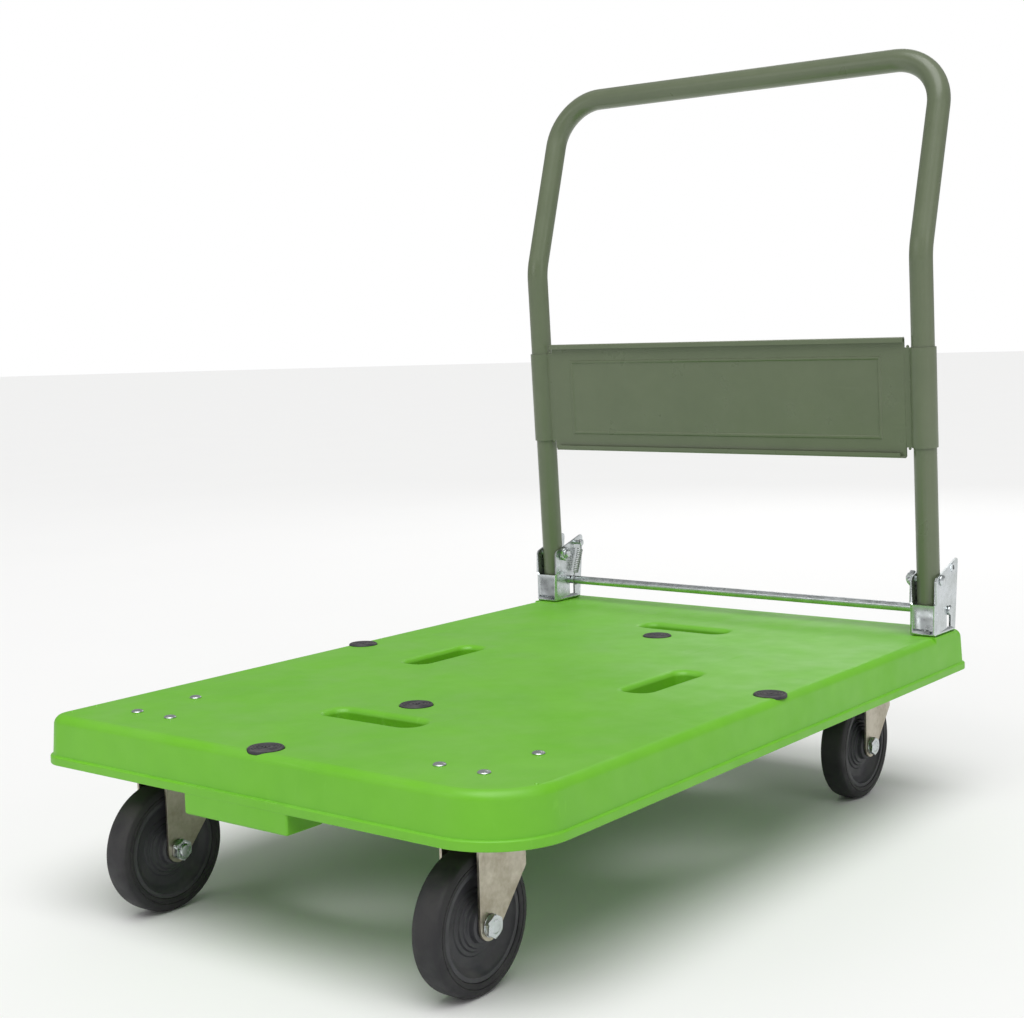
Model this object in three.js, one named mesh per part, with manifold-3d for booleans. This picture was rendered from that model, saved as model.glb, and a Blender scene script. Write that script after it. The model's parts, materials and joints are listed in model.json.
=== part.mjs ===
// Folding platform cart: a ribbed moulded deck on four casters, with a tubular push handle
// that folds forward over the deck and is held by a sprung foot bar.
//
// Frame: millimetres, X across the deck, Y along it (the handle stands at +Y), Z up.
// The floor is z = 0 and the origin is the middle of the deck's outline on the floor.

import * as THREE from 'three';
import { mergeVertices } from 'three/addons/utils/BufferGeometryUtils.js';
import Module from 'manifold-3d';

const wasm = await Module();
wasm.setup();

// ---------------------------------------------------------------- driving dimensions

const FIT_GAP = 0.3; // clearance between pieces that rest on or in each other

const deck = {
  width: 600,
  length: 915,
  depth: 49,
  ribDepth: 42,
  wall: 5,
  skin: 5,
  topEdgeRadius: 10,
  frontLeftCornerRadius: 26,
  frontRightCornerRadius: 78,
  rearCornerRadius: 16,
  draft: 2,
  lipHeight: 10,
  lipProud: 3,
  lipChamfer: 2.5,
  ribThickness: 3.5,
  ribSpacing: 88,
  cornerSteps: 6,
  edgeSteps: 2,
};

const nose = { offset: -19, width: 134, length: 47, drop: 19.5, wall: 4 };

const slot = {
  length: 120,
  width: 34,
  cornerRadius: 14,
  rimRadius: 6,
  sleeveWall: 4,
  endSlotOffset: 286,
  sideSlotOffset: 150,
  cornerSteps: 3,
  rimSteps: 2,
};

const seat = { margin: 3 };

const pad = {
  diameter: 34,
  recess: 2.7,
  proud: 1.5,
  bevel: 1,
  frontInset: 25,
  sideInset: 22,
  middleOffset: 224,
};

const caster = {
  sideInset: 102,
  frontAxleInset: 69.5,
  rearAxleInset: 103.5,
  trail: 32,
  plateLength: 96,
  plateWidth: 66,
  plateThickness: 4,
  plateCornerRadius: 7,
  plateCornerSteps: 2,
  wheelRadius: 65,
  tyreWidth: 30,
  tyreThickness: 14,
  tyreShoulder: 6,
  hubWidth: 36,
  hubRadius: 17,
  rimDepth: 5,
  rimRecess: 1.5,
  webThickness: 9,
  hubFillet: 2,
  rimFillet: 3,
  forkSheet: 2.8,
  forkClearance: 1.2,
  forkFootRadius: 13.5,
  forkHeadReach: 52,
  forkHeadDepth: 34,
  forkHeelRatio: 0.8,
  forkFootSteps: 5,
  crownClearance: 6,
  axleRadius: 6,
  bushWall: 2.5,
  boltHeadAcross: 19,
  boltHeadThickness: 5.5,
  nutThickness: 7,
  threadOverrun: 2,
  kingpinRadius: 6,
  kingpinHeadRadius: 11,
  kingpinHeadThickness: 2.8,
  kingpinHeadTaper: 2,
  cupRadius: 27,
  cupHeight: 6.5,
  cupBevel: 3,
  cupBevelHeight: 1.5,
  raceHeight: 7.5,
  raceRadius: 24,
  raceBevel: 3,
  raceBevelHeight: 2,
  turnSteps: 24,
};

const bracket = {
  sideInset: 23.5,
  tubeClearance: 0.7,
  webClearance: 1.1,
  sheet: 2.3,
  frontInset: 83.5,
  footLength: 57,
  webHeight: 37,
  tabHeight: 6,
  tabSlot: 2.4,
  tabSlotStart: 2,
  tabSlotEnd: 1,
  cheekFrontHeight: 67,
  cheekPeakHeight: 88,
  peakSetback: 61,
  backLean: 8,
  peakChamfer: 5,
  frontChamfer: 3,
};

const pivot = {
  height: 66,
  boltRadius: 5,
  headRadius: 6.5,
  headThickness: 3,
  headRim: 1,
  headCrownRatio: 0.6,
  nutAcross: 17,
  nutThickness: 8.5,
  threadOverrun: 2,
};

const footBar = {
  behindTube: 7.4,
  height: 27,
  radius: 5.5,
  overhang: 3.2,
  endBevel: 1,
  travel: 14,
  slotSteps: 6,
};

const spring = {
  setback: 50,
  postHeight: 78,
  postRadius: 2.8,
  postHeadRadius: 4.4,
  postHeadThickness: 1.6,
  coilRadius: 3.6,
  wireRadius: 0.7,
  turns: 7,
  standOff: 6.4,
  stepsPerTurn: 6,
  wireSides: 4,
};

const eyelet = { radius: 6.2, bore: 2.6, height: 1 };

const bracketBolt = {
  setbacks: [14, 48],
  headRadius: 6.5,
  headThickness: 2.4,
  headCrownRatio: 0.8,
  shankRadius: 3.8,
  shankLength: 20,
};

const handle = {
  tubeRadius: 13.6,
  tubeWall: 1.6,
  tailLength: 35,
  legLean: THREE.MathUtils.degToRad(3.2),
  bendHeight: 454,
  bendRadius: 75,
  upperLean: THREE.MathUtils.degToRad(16.5),
  topHeight: 683,
  cornerRadius: 62,
  sides: 12,
  bendSteps: 2,
  cornerSteps: 5,
  plugLength: 9,
};

const panel = {
  bottom: 147,
  height: 141,
  sheet: 1.5,
  forward: 6,
  flangeHeight: 6,
  flangeDepth: 5.5,
  flangeTaper: 6,
  endGap: 21,
  collarInset: 11.5,
  collarSheet: 1.5,
  collarSides: 12,
  beadWidth: 4,
  beadHeight: 1,
  beadSideInset: 30,
  beadEdgeInset: 21,
};

// How many facets the round pieces have.
const facets = { hexagon: 6, screw: 10, post: 12, bracketBolt: 14, rod: 16, footBar: 18, disc: 20 };

// ---------------------------------------------------------------- finishes

const finish = (color, roughness, metalness = 0) =>
  new THREE.MeshStandardMaterial({ color, roughness, metalness });
const GREEN_PLASTIC = () => finish(0x66bd26, 0.42);
const OLIVE_PAINT = () => finish(0x667156, 0.38);
const ZINC = () => finish(0xb4bdc0, 0.32, 0.9);
const YELLOW_ZINC = () => finish(0x9a9178, 0.42, 0.85);
const BLACK_RUBBER = () => finish(0x17171c, 0.75);
const GREY_RUBBER = () => finish(0x33343a, 0.7);
const GREY_NYLON = () => finish(0x2f3034, 0.55);
const BEARING_STEEL = () => finish(0x8d9091, 0.28, 0.95);

// ---------------------------------------------------------------- solid helpers

function signedVolume(vertices, indices) {
  const a = new THREE.Vector3();
  const b = new THREE.Vector3();
  const c = new THREE.Vector3();
  let volume = 0;
  for (let i = 0; i < indices.length; i += 3) {
    a.fromArray(vertices, 3 * indices[i]);
    b.fromArray(vertices, 3 * indices[i + 1]);
    c.fromArray(vertices, 3 * indices[i + 2]);
    volume += a.dot(b.cross(c)) / 6;
  }
  return volume;
}

// Turns a closed geometry into a solid with its faces pointing out.
function solidOf(geometry) {
  const bare = geometry.clone();
  for (const name of Object.keys(bare.attributes)) {
    if (name !== 'position') bare.deleteAttribute(name);
  }
  const merged = mergeVertices(bare, 1e-4);
  const vertProperties = new Float32Array(merged.attributes.position.array);
  const corners = Array.from(merged.index.array);
  const triVerts = [];
  for (let i = 0; i < corners.length; i += 3) {
    const [p, q, r] = [corners[i], corners[i + 1], corners[i + 2]];
    if (p !== q && q !== r && r !== p) triVerts.push(p, q, r);
  }
  if (signedVolume(vertProperties, triVerts) < 0) triVerts.reverse();
  return new wasm.Manifold(new wasm.Mesh({ numProp: 3, vertProperties, triVerts: new Uint32Array(triVerts) }));
}

function geometryOf(solid) {
  const { numProp, vertProperties, triVerts } = solid.getMesh();
  const positions = new Float32Array((vertProperties.length / numProp) * 3);
  for (let i = 0; i < positions.length / 3; i += 1) {
    for (let k = 0; k < 3; k += 1) positions[3 * i + k] = vertProperties[numProp * i + k];
  }
  const geometry = new THREE.BufferGeometry();
  geometry.setAttribute('position', new THREE.BufferAttribute(positions, 3));
  geometry.setIndex(new THREE.BufferAttribute(new Uint32Array(triVerts), 1));
  geometry.computeVertexNormals();
  return geometry;
}

const unite = (...solids) => solids.reduce((sum, item) => sum.add(item));
const cutAll = (body, ...tools) => tools.reduce((rest, tool) => rest.subtract(tool), body);

function boxBetween([x0, y0, z0], [x1, y1, z1]) {
  const geometry = new THREE.BoxGeometry(x1 - x0, y1 - y0, z1 - z0);
  return solidOf(geometry.translate((x0 + x1) / 2, (y0 + y1) / 2, (z0 + z1) / 2));
}

// A flat outline pushed up from z0 to z1.
function prism(outline, z0, z1) {
  const geometry = new THREE.ExtrudeGeometry(new THREE.Shape(outline), { depth: z1 - z0, bevelEnabled: false });
  return solidOf(geometry.translate(0, 0, z0));
}

// An outline drawn in (y, z), pushed from x0 to x1.
function plateAlongX(outline, x0, x1) {
  const geometry = new THREE.ExtrudeGeometry(new THREE.Shape(outline), { depth: x1 - x0, bevelEnabled: false });
  const turn = new THREE.Matrix4().makeBasis(
    new THREE.Vector3(0, 1, 0),
    new THREE.Vector3(0, 0, 1),
    new THREE.Vector3(1, 0, 0),
  );
  return solidOf(geometry.applyMatrix4(turn).translate(x0, 0, 0));
}

// A profile of [radius, height] pairs turned about Z.
function turnedAboutZ(profile, steps) {
  const points = profile.map(([radius, height]) => new THREE.Vector2(radius, height));
  return solidOf(new THREE.LatheGeometry(points, steps).rotateX(Math.PI / 2));
}

// A profile of [radius, along] pairs turned about X.
function turnedAboutX(profile, steps) {
  const points = profile.map(([radius, along]) => new THREE.Vector2(radius, along));
  return solidOf(new THREE.LatheGeometry(points, steps).rotateZ(-Math.PI / 2));
}

const ringProfile = (inner, outer, from, to) => [
  [inner, from],
  [outer, from],
  [outer, to],
  [inner, to],
  [inner, from],
];
const rodProfile = (radius, from, to) => [[0, from], [radius, from], [radius, to], [0, to]];

const rodAlongX = (radius, x0, x1, y, z, steps = facets.rod) =>
  turnedAboutX(rodProfile(radius, x0, x1), steps).translate([0, y, z]);
const rodAlongZ = (radius, z0, z1, x, y, steps = facets.rod) =>
  turnedAboutZ(rodProfile(radius, z0, z1), steps).translate([x, y, 0]);

// A hexagonal head or nut along X, given its size across flats.
const hexagonAlongX = (acrossFlats, x0, x1) =>
  turnedAboutX(rodProfile(acrossFlats / Math.sqrt(3), x0, x1), facets.hexagon);

// A solid of stacked outlines that all have the same number of points.
function stack(levels) {
  const count = levels[0].outline.length;
  const positions = [];
  for (const { z, outline } of levels) {
    for (const point of outline) positions.push(point.x, point.y, z);
  }
  const indices = [];
  for (let level = 0; level + 1 < levels.length; level += 1) {
    for (let i = 0; i < count; i += 1) {
      const a = level * count + i;
      const b = level * count + ((i + 1) % count);
      indices.push(a, b, b + count, a, b + count, a + count);
    }
  }
  const last = (levels.length - 1) * count;
  for (const [a, b, c] of THREE.ShapeUtils.triangulateShape(levels[0].outline, [])) indices.push(c, b, a);
  for (const [a, b, c] of THREE.ShapeUtils.triangulateShape(levels.at(-1).outline, [])) {
    indices.push(last + a, last + b, last + c);
  }
  const geometry = new THREE.BufferGeometry();
  geometry.setAttribute('position', new THREE.Float32BufferAttribute(positions, 3));
  geometry.setIndex(indices);
  return solidOf(geometry);
}

// A rectangle with round corners, listed from the front right corner round to the front left.
function roundedOutline(halfWidth, halfLength, [frontRight, rear, frontLeft], steps) {
  const corners = [
    [halfWidth - frontRight, -halfLength + frontRight, frontRight, -Math.PI / 2],
    [halfWidth - rear, halfLength - rear, rear, 0],
    [-halfWidth + rear, halfLength - rear, rear, Math.PI / 2],
    [-halfWidth + frontLeft, -halfLength + frontLeft, frontLeft, Math.PI],
  ];
  const outline = [];
  for (const [x, y, radius, start] of corners) {
    for (let i = 0; i <= steps; i += 1) {
      const angle = start + (i / steps) * (Math.PI / 2);
      outline.push(new THREE.Vector2(x + radius * Math.cos(angle), y + radius * Math.sin(angle)));
    }
  }
  return outline;
}

const allCorners = (radius) => [radius, radius, radius];

// Stations along a route of straight runs whose inner corners are rounded off as arcs.
function roundedRoute(corners, radii, steps) {
  const stations = [];
  const directions = corners.slice(1).map((point, i) => point.clone().sub(corners[i]).normalize());
  stations.push({ point: corners[0].clone(), tangent: directions[0].clone() });
  for (let i = 1; i + 1 < corners.length; i += 1) {
    const into = directions[i - 1];
    const out = directions[i];
    const angle = into.angleTo(out);
    const setback = radii[i - 1] * Math.tan(angle / 2);
    const start = corners[i].clone().addScaledVector(into, -setback);
    const side = out.clone().addScaledVector(into, -out.dot(into)).normalize();
    for (let k = 0; k <= steps[i - 1]; k += 1) {
      const turn = (angle * k) / steps[i - 1];
      const point = start.clone()
        .addScaledVector(into, radii[i - 1] * Math.sin(turn))
        .addScaledVector(side, radii[i - 1] * (1 - Math.cos(turn)));
      const tangent = into.clone().multiplyScalar(Math.cos(turn)).addScaledVector(side, Math.sin(turn));
      stations.push({ point, tangent });
    }
  }
  stations.push({ point: corners.at(-1).clone(), tangent: directions.at(-1).clone() });
  return stations;
}

// A round section carried along stations without twist, closed at both ends.
function sweep(stations, radius, sides) {
  const normal = new THREE.Vector3(0, 1, 0);
  const positions = [];
  for (const { point, tangent } of stations) {
    normal.addScaledVector(tangent, -normal.dot(tangent)).normalize();
    const across = new THREE.Vector3().crossVectors(tangent, normal);
    for (let i = 0; i < sides; i += 1) {
      const angle = (2 * Math.PI * i) / sides;
      const rim = point.clone()
        .addScaledVector(normal, radius * Math.cos(angle))
        .addScaledVector(across, radius * Math.sin(angle));
      positions.push(...rim.toArray());
    }
  }
  const indices = [];
  for (let k = 0; k + 1 < stations.length; k += 1) {
    for (let i = 0; i < sides; i += 1) {
      const a = k * sides + i;
      const b = k * sides + ((i + 1) % sides);
      indices.push(a, b, b + sides, a, b + sides, a + sides);
    }
  }
  const last = (stations.length - 1) * sides;
  for (let i = 1; i + 1 < sides; i += 1) {
    indices.push(0, i + 1, i, last, last + i, last + i + 1);
  }
  const geometry = new THREE.BufferGeometry();
  geometry.setAttribute('position', new THREE.Float32BufferAttribute(positions, 3));
  geometry.setIndex(indices);
  return solidOf(geometry);
}

function lengthened(stations, extra) {
  const longer = stations.map(({ point, tangent }) => ({ point: point.clone(), tangent }));
  longer[0].point.addScaledVector(longer[0].tangent, -extra);
  longer.at(-1).point.addScaledVector(longer.at(-1).tangent, extra);
  return longer;
}

function addMesh(parent, name, solid, material) {
  const mesh = new THREE.Mesh(geometryOf(solid), material);
  mesh.name = name;
  parent.add(mesh);
  return mesh;
}

function addGroup(parent, x, y, z) {
  const group = new THREE.Group();
  group.position.set(x, y, z);
  parent.add(group);
  return group;
}

// ---------------------------------------------------------------- places worked out from the sizes

const CUT = 1; // how far a cutting tool runs past the face that it cuts
const LEAST_RADIUS = 1; // the sharpest that a rounded corner gets when its outline is set in
const crownTop = 2 * caster.wheelRadius + caster.crownClearance + caster.forkSheet;
const raceTop = crownTop + FIT_GAP + caster.raceHeight;
const cupBottom = raceTop + FIT_GAP;
const cupTop = cupBottom + caster.cupHeight;
const plateBottom = cupTop + FIT_GAP;
const casterSeat = plateBottom + caster.plateThickness + FIT_GAP;
const casterX = deck.width / 2 - caster.sideInset;
const forkGap = caster.hubWidth / 2 + caster.forkClearance;
const forkOuter = forkGap + caster.forkSheet;
const deckTop = casterSeat + deck.ribDepth;
const deckFloor = deckTop - deck.depth;
const deckFront = -deck.length / 2;
const deckRear = deck.length / 2;
const bracketX = deck.width / 2 - bracket.sideInset;
const bracketFront = deckRear - bracket.frontInset;
const bracketInnerWidth = 2 * (handle.tubeRadius + bracket.tubeClearance);
const bracketOuterWidth = bracketInnerWidth + 2 * bracket.sheet;
const bracketFoot = deckTop + FIT_GAP;
const pivotSetback = bracket.sheet + bracket.webClearance + handle.tubeRadius;
const barSetback = pivotSetback + handle.tubeRadius + footBar.behindTube;
const padSpots = {
  anti_slip_pad_front: [0, deckFront + pad.frontInset],
  anti_slip_pad_middle_front: [0, -pad.middleOffset],
  anti_slip_pad_middle_rear: [0, pad.middleOffset],
  anti_slip_pad_left: [-deck.width / 2 + pad.sideInset, 0],
  anti_slip_pad_right: [deck.width / 2 - pad.sideInset, 0],
};
const slotSpots = [
  { x: 0, y: -slot.endSlotOffset, along: 'x' },
  { x: 0, y: slot.endSlotOffset, along: 'x' },
  { x: -slot.sideSlotOffset, y: 0, along: 'y' },
  { x: slot.sideSlotOffset, y: 0, along: 'y' },
];

// ---------------------------------------------------------------- deck

function deckOutline(inset) {
  const radii = [deck.frontRightCornerRadius, deck.rearCornerRadius, deck.frontLeftCornerRadius];
  const shrunk = radii.map((radius) => Math.max(radius - inset, LEAST_RADIUS));
  return roundedOutline(deck.width / 2 - inset, deck.length / 2 - inset, shrunk, deck.cornerSteps);
}

function deckBody() {
  const wallInset = deck.lipProud;
  const levels = [
    { z: deckFloor, outline: deckOutline(0) },
    { z: deckFloor + deck.lipHeight - deck.lipChamfer, outline: deckOutline(0) },
    { z: deckFloor + deck.lipHeight, outline: deckOutline(wallInset) },
  ];
  const edgeStart = deckTop - deck.topEdgeRadius;
  for (let i = 0; i <= deck.edgeSteps; i += 1) {
    const turn = (i / deck.edgeSteps) * (Math.PI / 2);
    levels.push({
      z: edgeStart + deck.topEdgeRadius * Math.sin(turn),
      outline: deckOutline(wallInset + deck.draft + deck.topEdgeRadius * (1 - Math.cos(turn))),
    });
  }
  return stack(levels);
}

function ribPockets() {
  const inner = deck.lipProud + deck.wall;
  const ceiling = deckTop - deck.skin;
  const cavity = stack([
    { z: deckFloor - CUT, outline: deckOutline(inner) },
    { z: ceiling, outline: deckOutline(inner + deck.draft) },
  ]);
  const width = deck.width - 2 * inner;
  const length = deck.length - 2 * inner;
  const columns = Math.ceil(width / deck.ribSpacing);
  const rows = Math.ceil(length / deck.ribSpacing);
  const pockets = [boxBetween([-width, -length, deckFloor - 2 * CUT], [width, length, casterSeat])];
  for (let i = 0; i < columns; i += 1) {
    for (let k = 0; k < rows; k += 1) {
      const x0 = -width / 2 + (width * i) / columns + (i > 0 ? deck.ribThickness / 2 : -CUT);
      const x1 = -width / 2 + (width * (i + 1)) / columns - (i + 1 < columns ? deck.ribThickness / 2 : -CUT);
      const y0 = -length / 2 + (length * k) / rows + (k > 0 ? deck.ribThickness / 2 : -CUT);
      const y1 = -length / 2 + (length * (k + 1)) / rows - (k + 1 < rows ? deck.ribThickness / 2 : -CUT);
      pockets.push(boxBetween([x0, y0, casterSeat - CUT], [x1, y1, ceiling]));
    }
  }
  return cavity.intersect(wasm.Manifold.union(pockets));
}

function noseBlock() {
  const x0 = nose.offset - nose.width / 2;
  const x1 = nose.offset + nose.width / 2;
  const y0 = deckFront;
  const y1 = deckFront + nose.length;
  const bottom = deckFloor - nose.drop;
  const shell = boxBetween([x0, y0, bottom], [x1, y1, deckFloor + deck.lipHeight / 2]);
  const hollow = boxBetween(
    [x0 + nose.wall, y0 + deck.lipProud + deck.wall, bottom + nose.wall],
    [x1 - nose.wall, y1 - nose.wall, casterSeat],
  );
  return { shell, hollow };
}

function slotOutline(spot, growth) {
  const halfLong = slot.length / 2 + growth;
  const halfShort = slot.width / 2 + growth;
  const radius = slot.cornerRadius + growth;
  const [halfX, halfY] = spot.along === 'x' ? [halfLong, halfShort] : [halfShort, halfLong];
  const move = new THREE.Vector2(spot.x, spot.y);
  return roundedOutline(halfX, halfY, allCorners(radius), slot.cornerSteps).map((point) => point.add(move));
}

function slotCut(spot) {
  const levels = [{ z: casterSeat - CUT, outline: slotOutline(spot, 0) }];
  for (let i = 0; i <= slot.rimSteps; i += 1) {
    const turn = (i / slot.rimSteps) * (Math.PI / 2);
    levels.push({
      z: deckTop - slot.rimRadius * (1 - Math.sin(turn)),
      outline: slotOutline(spot, slot.rimRadius * (1 - Math.cos(turn))),
    });
  }
  levels.push({ z: deckTop + CUT, outline: slotOutline(spot, slot.rimRadius) });
  return stack(levels);
}

// A square-edged seat that carries a bracket out to the deck's side.
function bracketSeat(side) {
  const outer = deck.width / 2 - deck.lipProud - deck.draft;
  const ends = [side * (bracketX - bracketOuterWidth / 2), side * outer].sort((a, b) => a - b);
  const low = deckTop - deck.topEdgeRadius;
  return boxBetween(
    [ends[0], bracketFront - seat.margin, low],
    [ends[1], bracketFront + bracket.footLength + seat.margin, deckTop],
  );
}

function boltSpots(side) {
  return bracketBolt.setbacks.map((setback) => [side * bracketX, bracketFront + setback]);
}

function buildDeck() {
  const { shell, hollow } = noseBlock();
  let body = cutAll(unite(deckBody(), shell), ribPockets(), hollow);
  body = unite(body, bracketSeat(-1), bracketSeat(1));
  for (const spot of slotSpots) {
    body = body.add(prism(slotOutline(spot, slot.sleeveWall), casterSeat, deckTop - deck.skin / 2));
  }
  for (const spot of slotSpots) body = body.subtract(slotCut(spot));
  for (const [x, y] of Object.values(padSpots)) {
    const radius = pad.diameter / 2 + FIT_GAP;
    body = body.subtract(rodAlongZ(radius, deckTop - pad.recess, deckTop + CUT, x, y, facets.disc));
  }
  for (const [x, y] of [...boltSpots(-1), ...boltSpots(1)]) {
    const low = deckTop - bracketBolt.shankLength - CUT;
    const radius = bracketBolt.shankRadius + FIT_GAP;
    body = body.subtract(rodAlongZ(radius, low, deckTop + CUT, x, y, facets.screw));
  }
  return body;
}

function buildPad([x, y]) {
  const bottom = deckTop - pad.recess + FIT_GAP;
  const top = deckTop + pad.proud;
  const radius = pad.diameter / 2;
  const profile = [
    [0, bottom],
    [radius, bottom],
    [radius, top - pad.bevel],
    [radius - pad.bevel, top],
    [0, top],
  ];
  return turnedAboutZ(profile, facets.disc).translate([x, y, 0]);
}

// ---------------------------------------------------------------- casters, about the axle on the floor

function buildTyre() {
  const outer = caster.wheelRadius;
  const inner = outer - caster.tyreThickness;
  const half = caster.tyreWidth / 2;
  const shoulder = caster.tyreShoulder;
  const profile = [
    [inner, -half],
    [outer - shoulder, -half],
    [outer, -half + shoulder],
    [outer, half - shoulder],
    [outer - shoulder, half],
    [inner, half],
    [inner, -half],
  ];
  return turnedAboutX(profile, caster.turnSteps);
}

function buildCore() {
  const rim = caster.wheelRadius - caster.tyreThickness - FIT_GAP;
  const bore = caster.axleRadius + FIT_GAP + caster.bushWall + FIT_GAP;
  const half = caster.tyreWidth / 2 - caster.rimRecess;
  const web = caster.webThickness / 2;
  const hub = caster.hubWidth / 2;
  const side = [
    [bore, hub],
    [caster.hubRadius, hub],
    [caster.hubRadius + caster.hubFillet, web],
    [rim - caster.rimDepth - caster.rimFillet, web],
    [rim - caster.rimDepth, half],
    [rim, half],
  ];
  const otherSide = side.slice().reverse().map(([radius, along]) => [radius, -along]);
  return turnedAboutX([...side, ...otherSide, side[0]], caster.turnSteps);
}

function buildBush() {
  const inner = caster.axleRadius + FIT_GAP;
  const end = forkGap - FIT_GAP;
  return turnedAboutX(ringProfile(inner, inner + caster.bushWall, -end, end), facets.rod);
}

// A leg as seen from the side: round about the axle, upright in front, raked back to the head.
function forkLegOutline(headTop) {
  const radius = caster.forkFootRadius;
  const axle = caster.wheelRadius;
  const shape = new THREE.Shape();
  const rake = Math.atan2(caster.forkHeadReach - radius, crownTop - caster.forkHeadDepth - axle);
  shape.moveTo(-radius, headTop);
  shape.lineTo(-radius, axle);
  shape.absarc(0, axle, radius, Math.PI, 2 * Math.PI - rake * caster.forkHeelRatio, false);
  shape.lineTo(caster.forkHeadReach, crownTop - caster.forkHeadDepth);
  shape.lineTo(caster.forkHeadReach, headTop);
  return shape.extractPoints(caster.forkFootSteps).shape;
}

function buildFork(headTop, pinRadius) {
  const outline = forkLegOutline(headTop);
  const crown = boxBetween(
    [-forkOuter, -caster.forkFootRadius, headTop - caster.forkSheet],
    [forkOuter, caster.forkHeadReach, headTop],
  );
  const leftLeg = plateAlongX(outline, -forkOuter, -forkGap);
  const rightLeg = plateAlongX(outline, forkGap, forkOuter);
  const reach = forkOuter + CUT;
  const tools = [rodAlongX(caster.axleRadius + FIT_GAP, -reach, reach, 0, caster.wheelRadius)];
  if (pinRadius > 0) {
    const low = headTop - caster.forkSheet - CUT;
    tools.push(rodAlongZ(pinRadius + FIT_GAP, low, headTop + CUT, 0, caster.trail, facets.post));
  }
  return cutAll(unite(crown, leftLeg, rightLeg), ...tools);
}

function buildPlate() {
  const radii = allCorners(caster.plateCornerRadius);
  const [halfWidth, halfLength] = [caster.plateWidth / 2, caster.plateLength / 2];
  const outline = roundedOutline(halfWidth, halfLength, radii, caster.plateCornerSteps);
  return prism(outline, plateBottom, plateBottom + caster.plateThickness).translate([0, caster.trail, 0]);
}

// Hexagon head and shank of the axle; the head is on the side that `side` points to.
function buildAxleBolt(side) {
  const start = forkOuter + FIT_GAP;
  const head = hexagonAlongX(caster.boltHeadAcross, start, start + caster.boltHeadThickness);
  const tip = -(start + caster.nutThickness + caster.threadOverrun);
  const bolt = head.add(turnedAboutX(rodProfile(caster.axleRadius, tip, start + CUT), facets.rod));
  return bolt.scale([side, 1, 1]).translate([0, 0, caster.wheelRadius]);
}

function buildAxleNut(side) {
  const start = -forkOuter - FIT_GAP;
  const end = start - caster.nutThickness;
  const nut = hexagonAlongX(caster.boltHeadAcross, end, start);
  const bored = nut.subtract(rodAlongX(caster.axleRadius + FIT_GAP, end - CUT, start + CUT, 0, 0));
  return bored.scale([side, 1, 1]).translate([0, 0, caster.wheelRadius]);
}

function addWheel(group, name, side) {
  const lift = [0, 0, caster.wheelRadius];
  addMesh(group, `${name}_tyre`, buildTyre().translate(lift), BLACK_RUBBER());
  addMesh(group, `${name}_wheel_core`, buildCore().translate(lift), GREY_NYLON());
  addMesh(group, `${name}_axle_bush`, buildBush().translate(lift), BEARING_STEEL());
  addMesh(group, `${name}_axle_bolt`, buildAxleBolt(side), ZINC());
  addMesh(group, `${name}_axle_nut`, buildAxleNut(side), ZINC());
}

function addFixedCaster(parent, name, side) {
  const group = addGroup(parent, side * casterX, deckFront + caster.frontAxleInset, 0);
  addMesh(group, `${name}_top_plate`, buildPlate(), YELLOW_ZINC());
  addMesh(group, `${name}_fixed_fork`, buildFork(plateBottom - FIT_GAP, 0), YELLOW_ZINC());
  addWheel(group, name, side);
}

function addSwivelCaster(parent, name, side) {
  const group = addGroup(parent, side * casterX, deckRear - caster.rearAxleInset, 0);
  const bore = caster.kingpinRadius + FIT_GAP;
  const about = (solid) => solid.translate([0, caster.trail, 0]);
  addMesh(group, `${name}_top_plate`, buildPlate(), YELLOW_ZINC());
  const cup = turnedAboutZ([
    [bore, cupBottom],
    [caster.cupRadius, cupBottom],
    [caster.cupRadius, cupTop - caster.cupBevelHeight],
    [caster.cupRadius - caster.cupBevel, cupTop],
    [bore, cupTop],
    [bore, cupBottom],
  ], caster.turnSteps);
  addMesh(group, `${name}_bearing_cup`, about(cup), YELLOW_ZINC());
  const raceBottom = crownTop + FIT_GAP;
  const race = turnedAboutZ([
    [bore, raceBottom],
    [caster.raceRadius - caster.raceBevel, raceBottom],
    [caster.raceRadius, raceBottom + caster.raceBevelHeight],
    [caster.raceRadius, raceTop],
    [bore, raceTop],
    [bore, raceBottom],
  ], caster.turnSteps);
  addMesh(group, `${name}_ball_race`, about(race), BEARING_STEEL());
  const headTop = crownTop - caster.forkSheet - FIT_GAP;
  const headBottom = headTop - caster.kingpinHeadThickness;
  const pin = turnedAboutZ([
    [0, headBottom],
    [caster.kingpinHeadRadius - caster.kingpinHeadTaper, headBottom],
    [caster.kingpinHeadRadius, headTop],
    [caster.kingpinRadius, headTop],
    [caster.kingpinRadius, plateBottom - FIT_GAP],
    [0, plateBottom - FIT_GAP],
  ], facets.rod);
  addMesh(group, `${name}_kingpin`, about(pin), BEARING_STEEL());
  addMesh(group, `${name}_swivel_fork`, buildFork(crownTop, caster.kingpinRadius), YELLOW_ZINC());
  addWheel(group, name, side);
}

// ---------------------------------------------------------------- handle brackets, about their front foot

function cheekOutline() {
  const points = [
    [0, 0],
    [bracket.footLength, 0],
    [bracket.footLength + bracket.backLean, bracket.cheekPeakHeight - bracket.peakChamfer],
    [bracket.peakSetback, bracket.cheekPeakHeight],
    [bracket.frontChamfer, bracket.cheekFrontHeight + bracket.frontChamfer],
    [0, bracket.cheekFrontHeight],
  ];
  return points.map(([y, z]) => new THREE.Vector2(y, z));
}

function barSlot(x0, x1) {
  const outline = new THREE.Shape();
  const radius = footBar.radius + FIT_GAP;
  const high = footBar.height;
  outline.absarc(barSetback, high, radius, 0, Math.PI, false);
  outline.absarc(barSetback, high - footBar.travel, radius, Math.PI, 2 * Math.PI, false);
  return plateAlongX(outline.extractPoints(footBar.slotSteps).shape, x0, x1);
}

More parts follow.
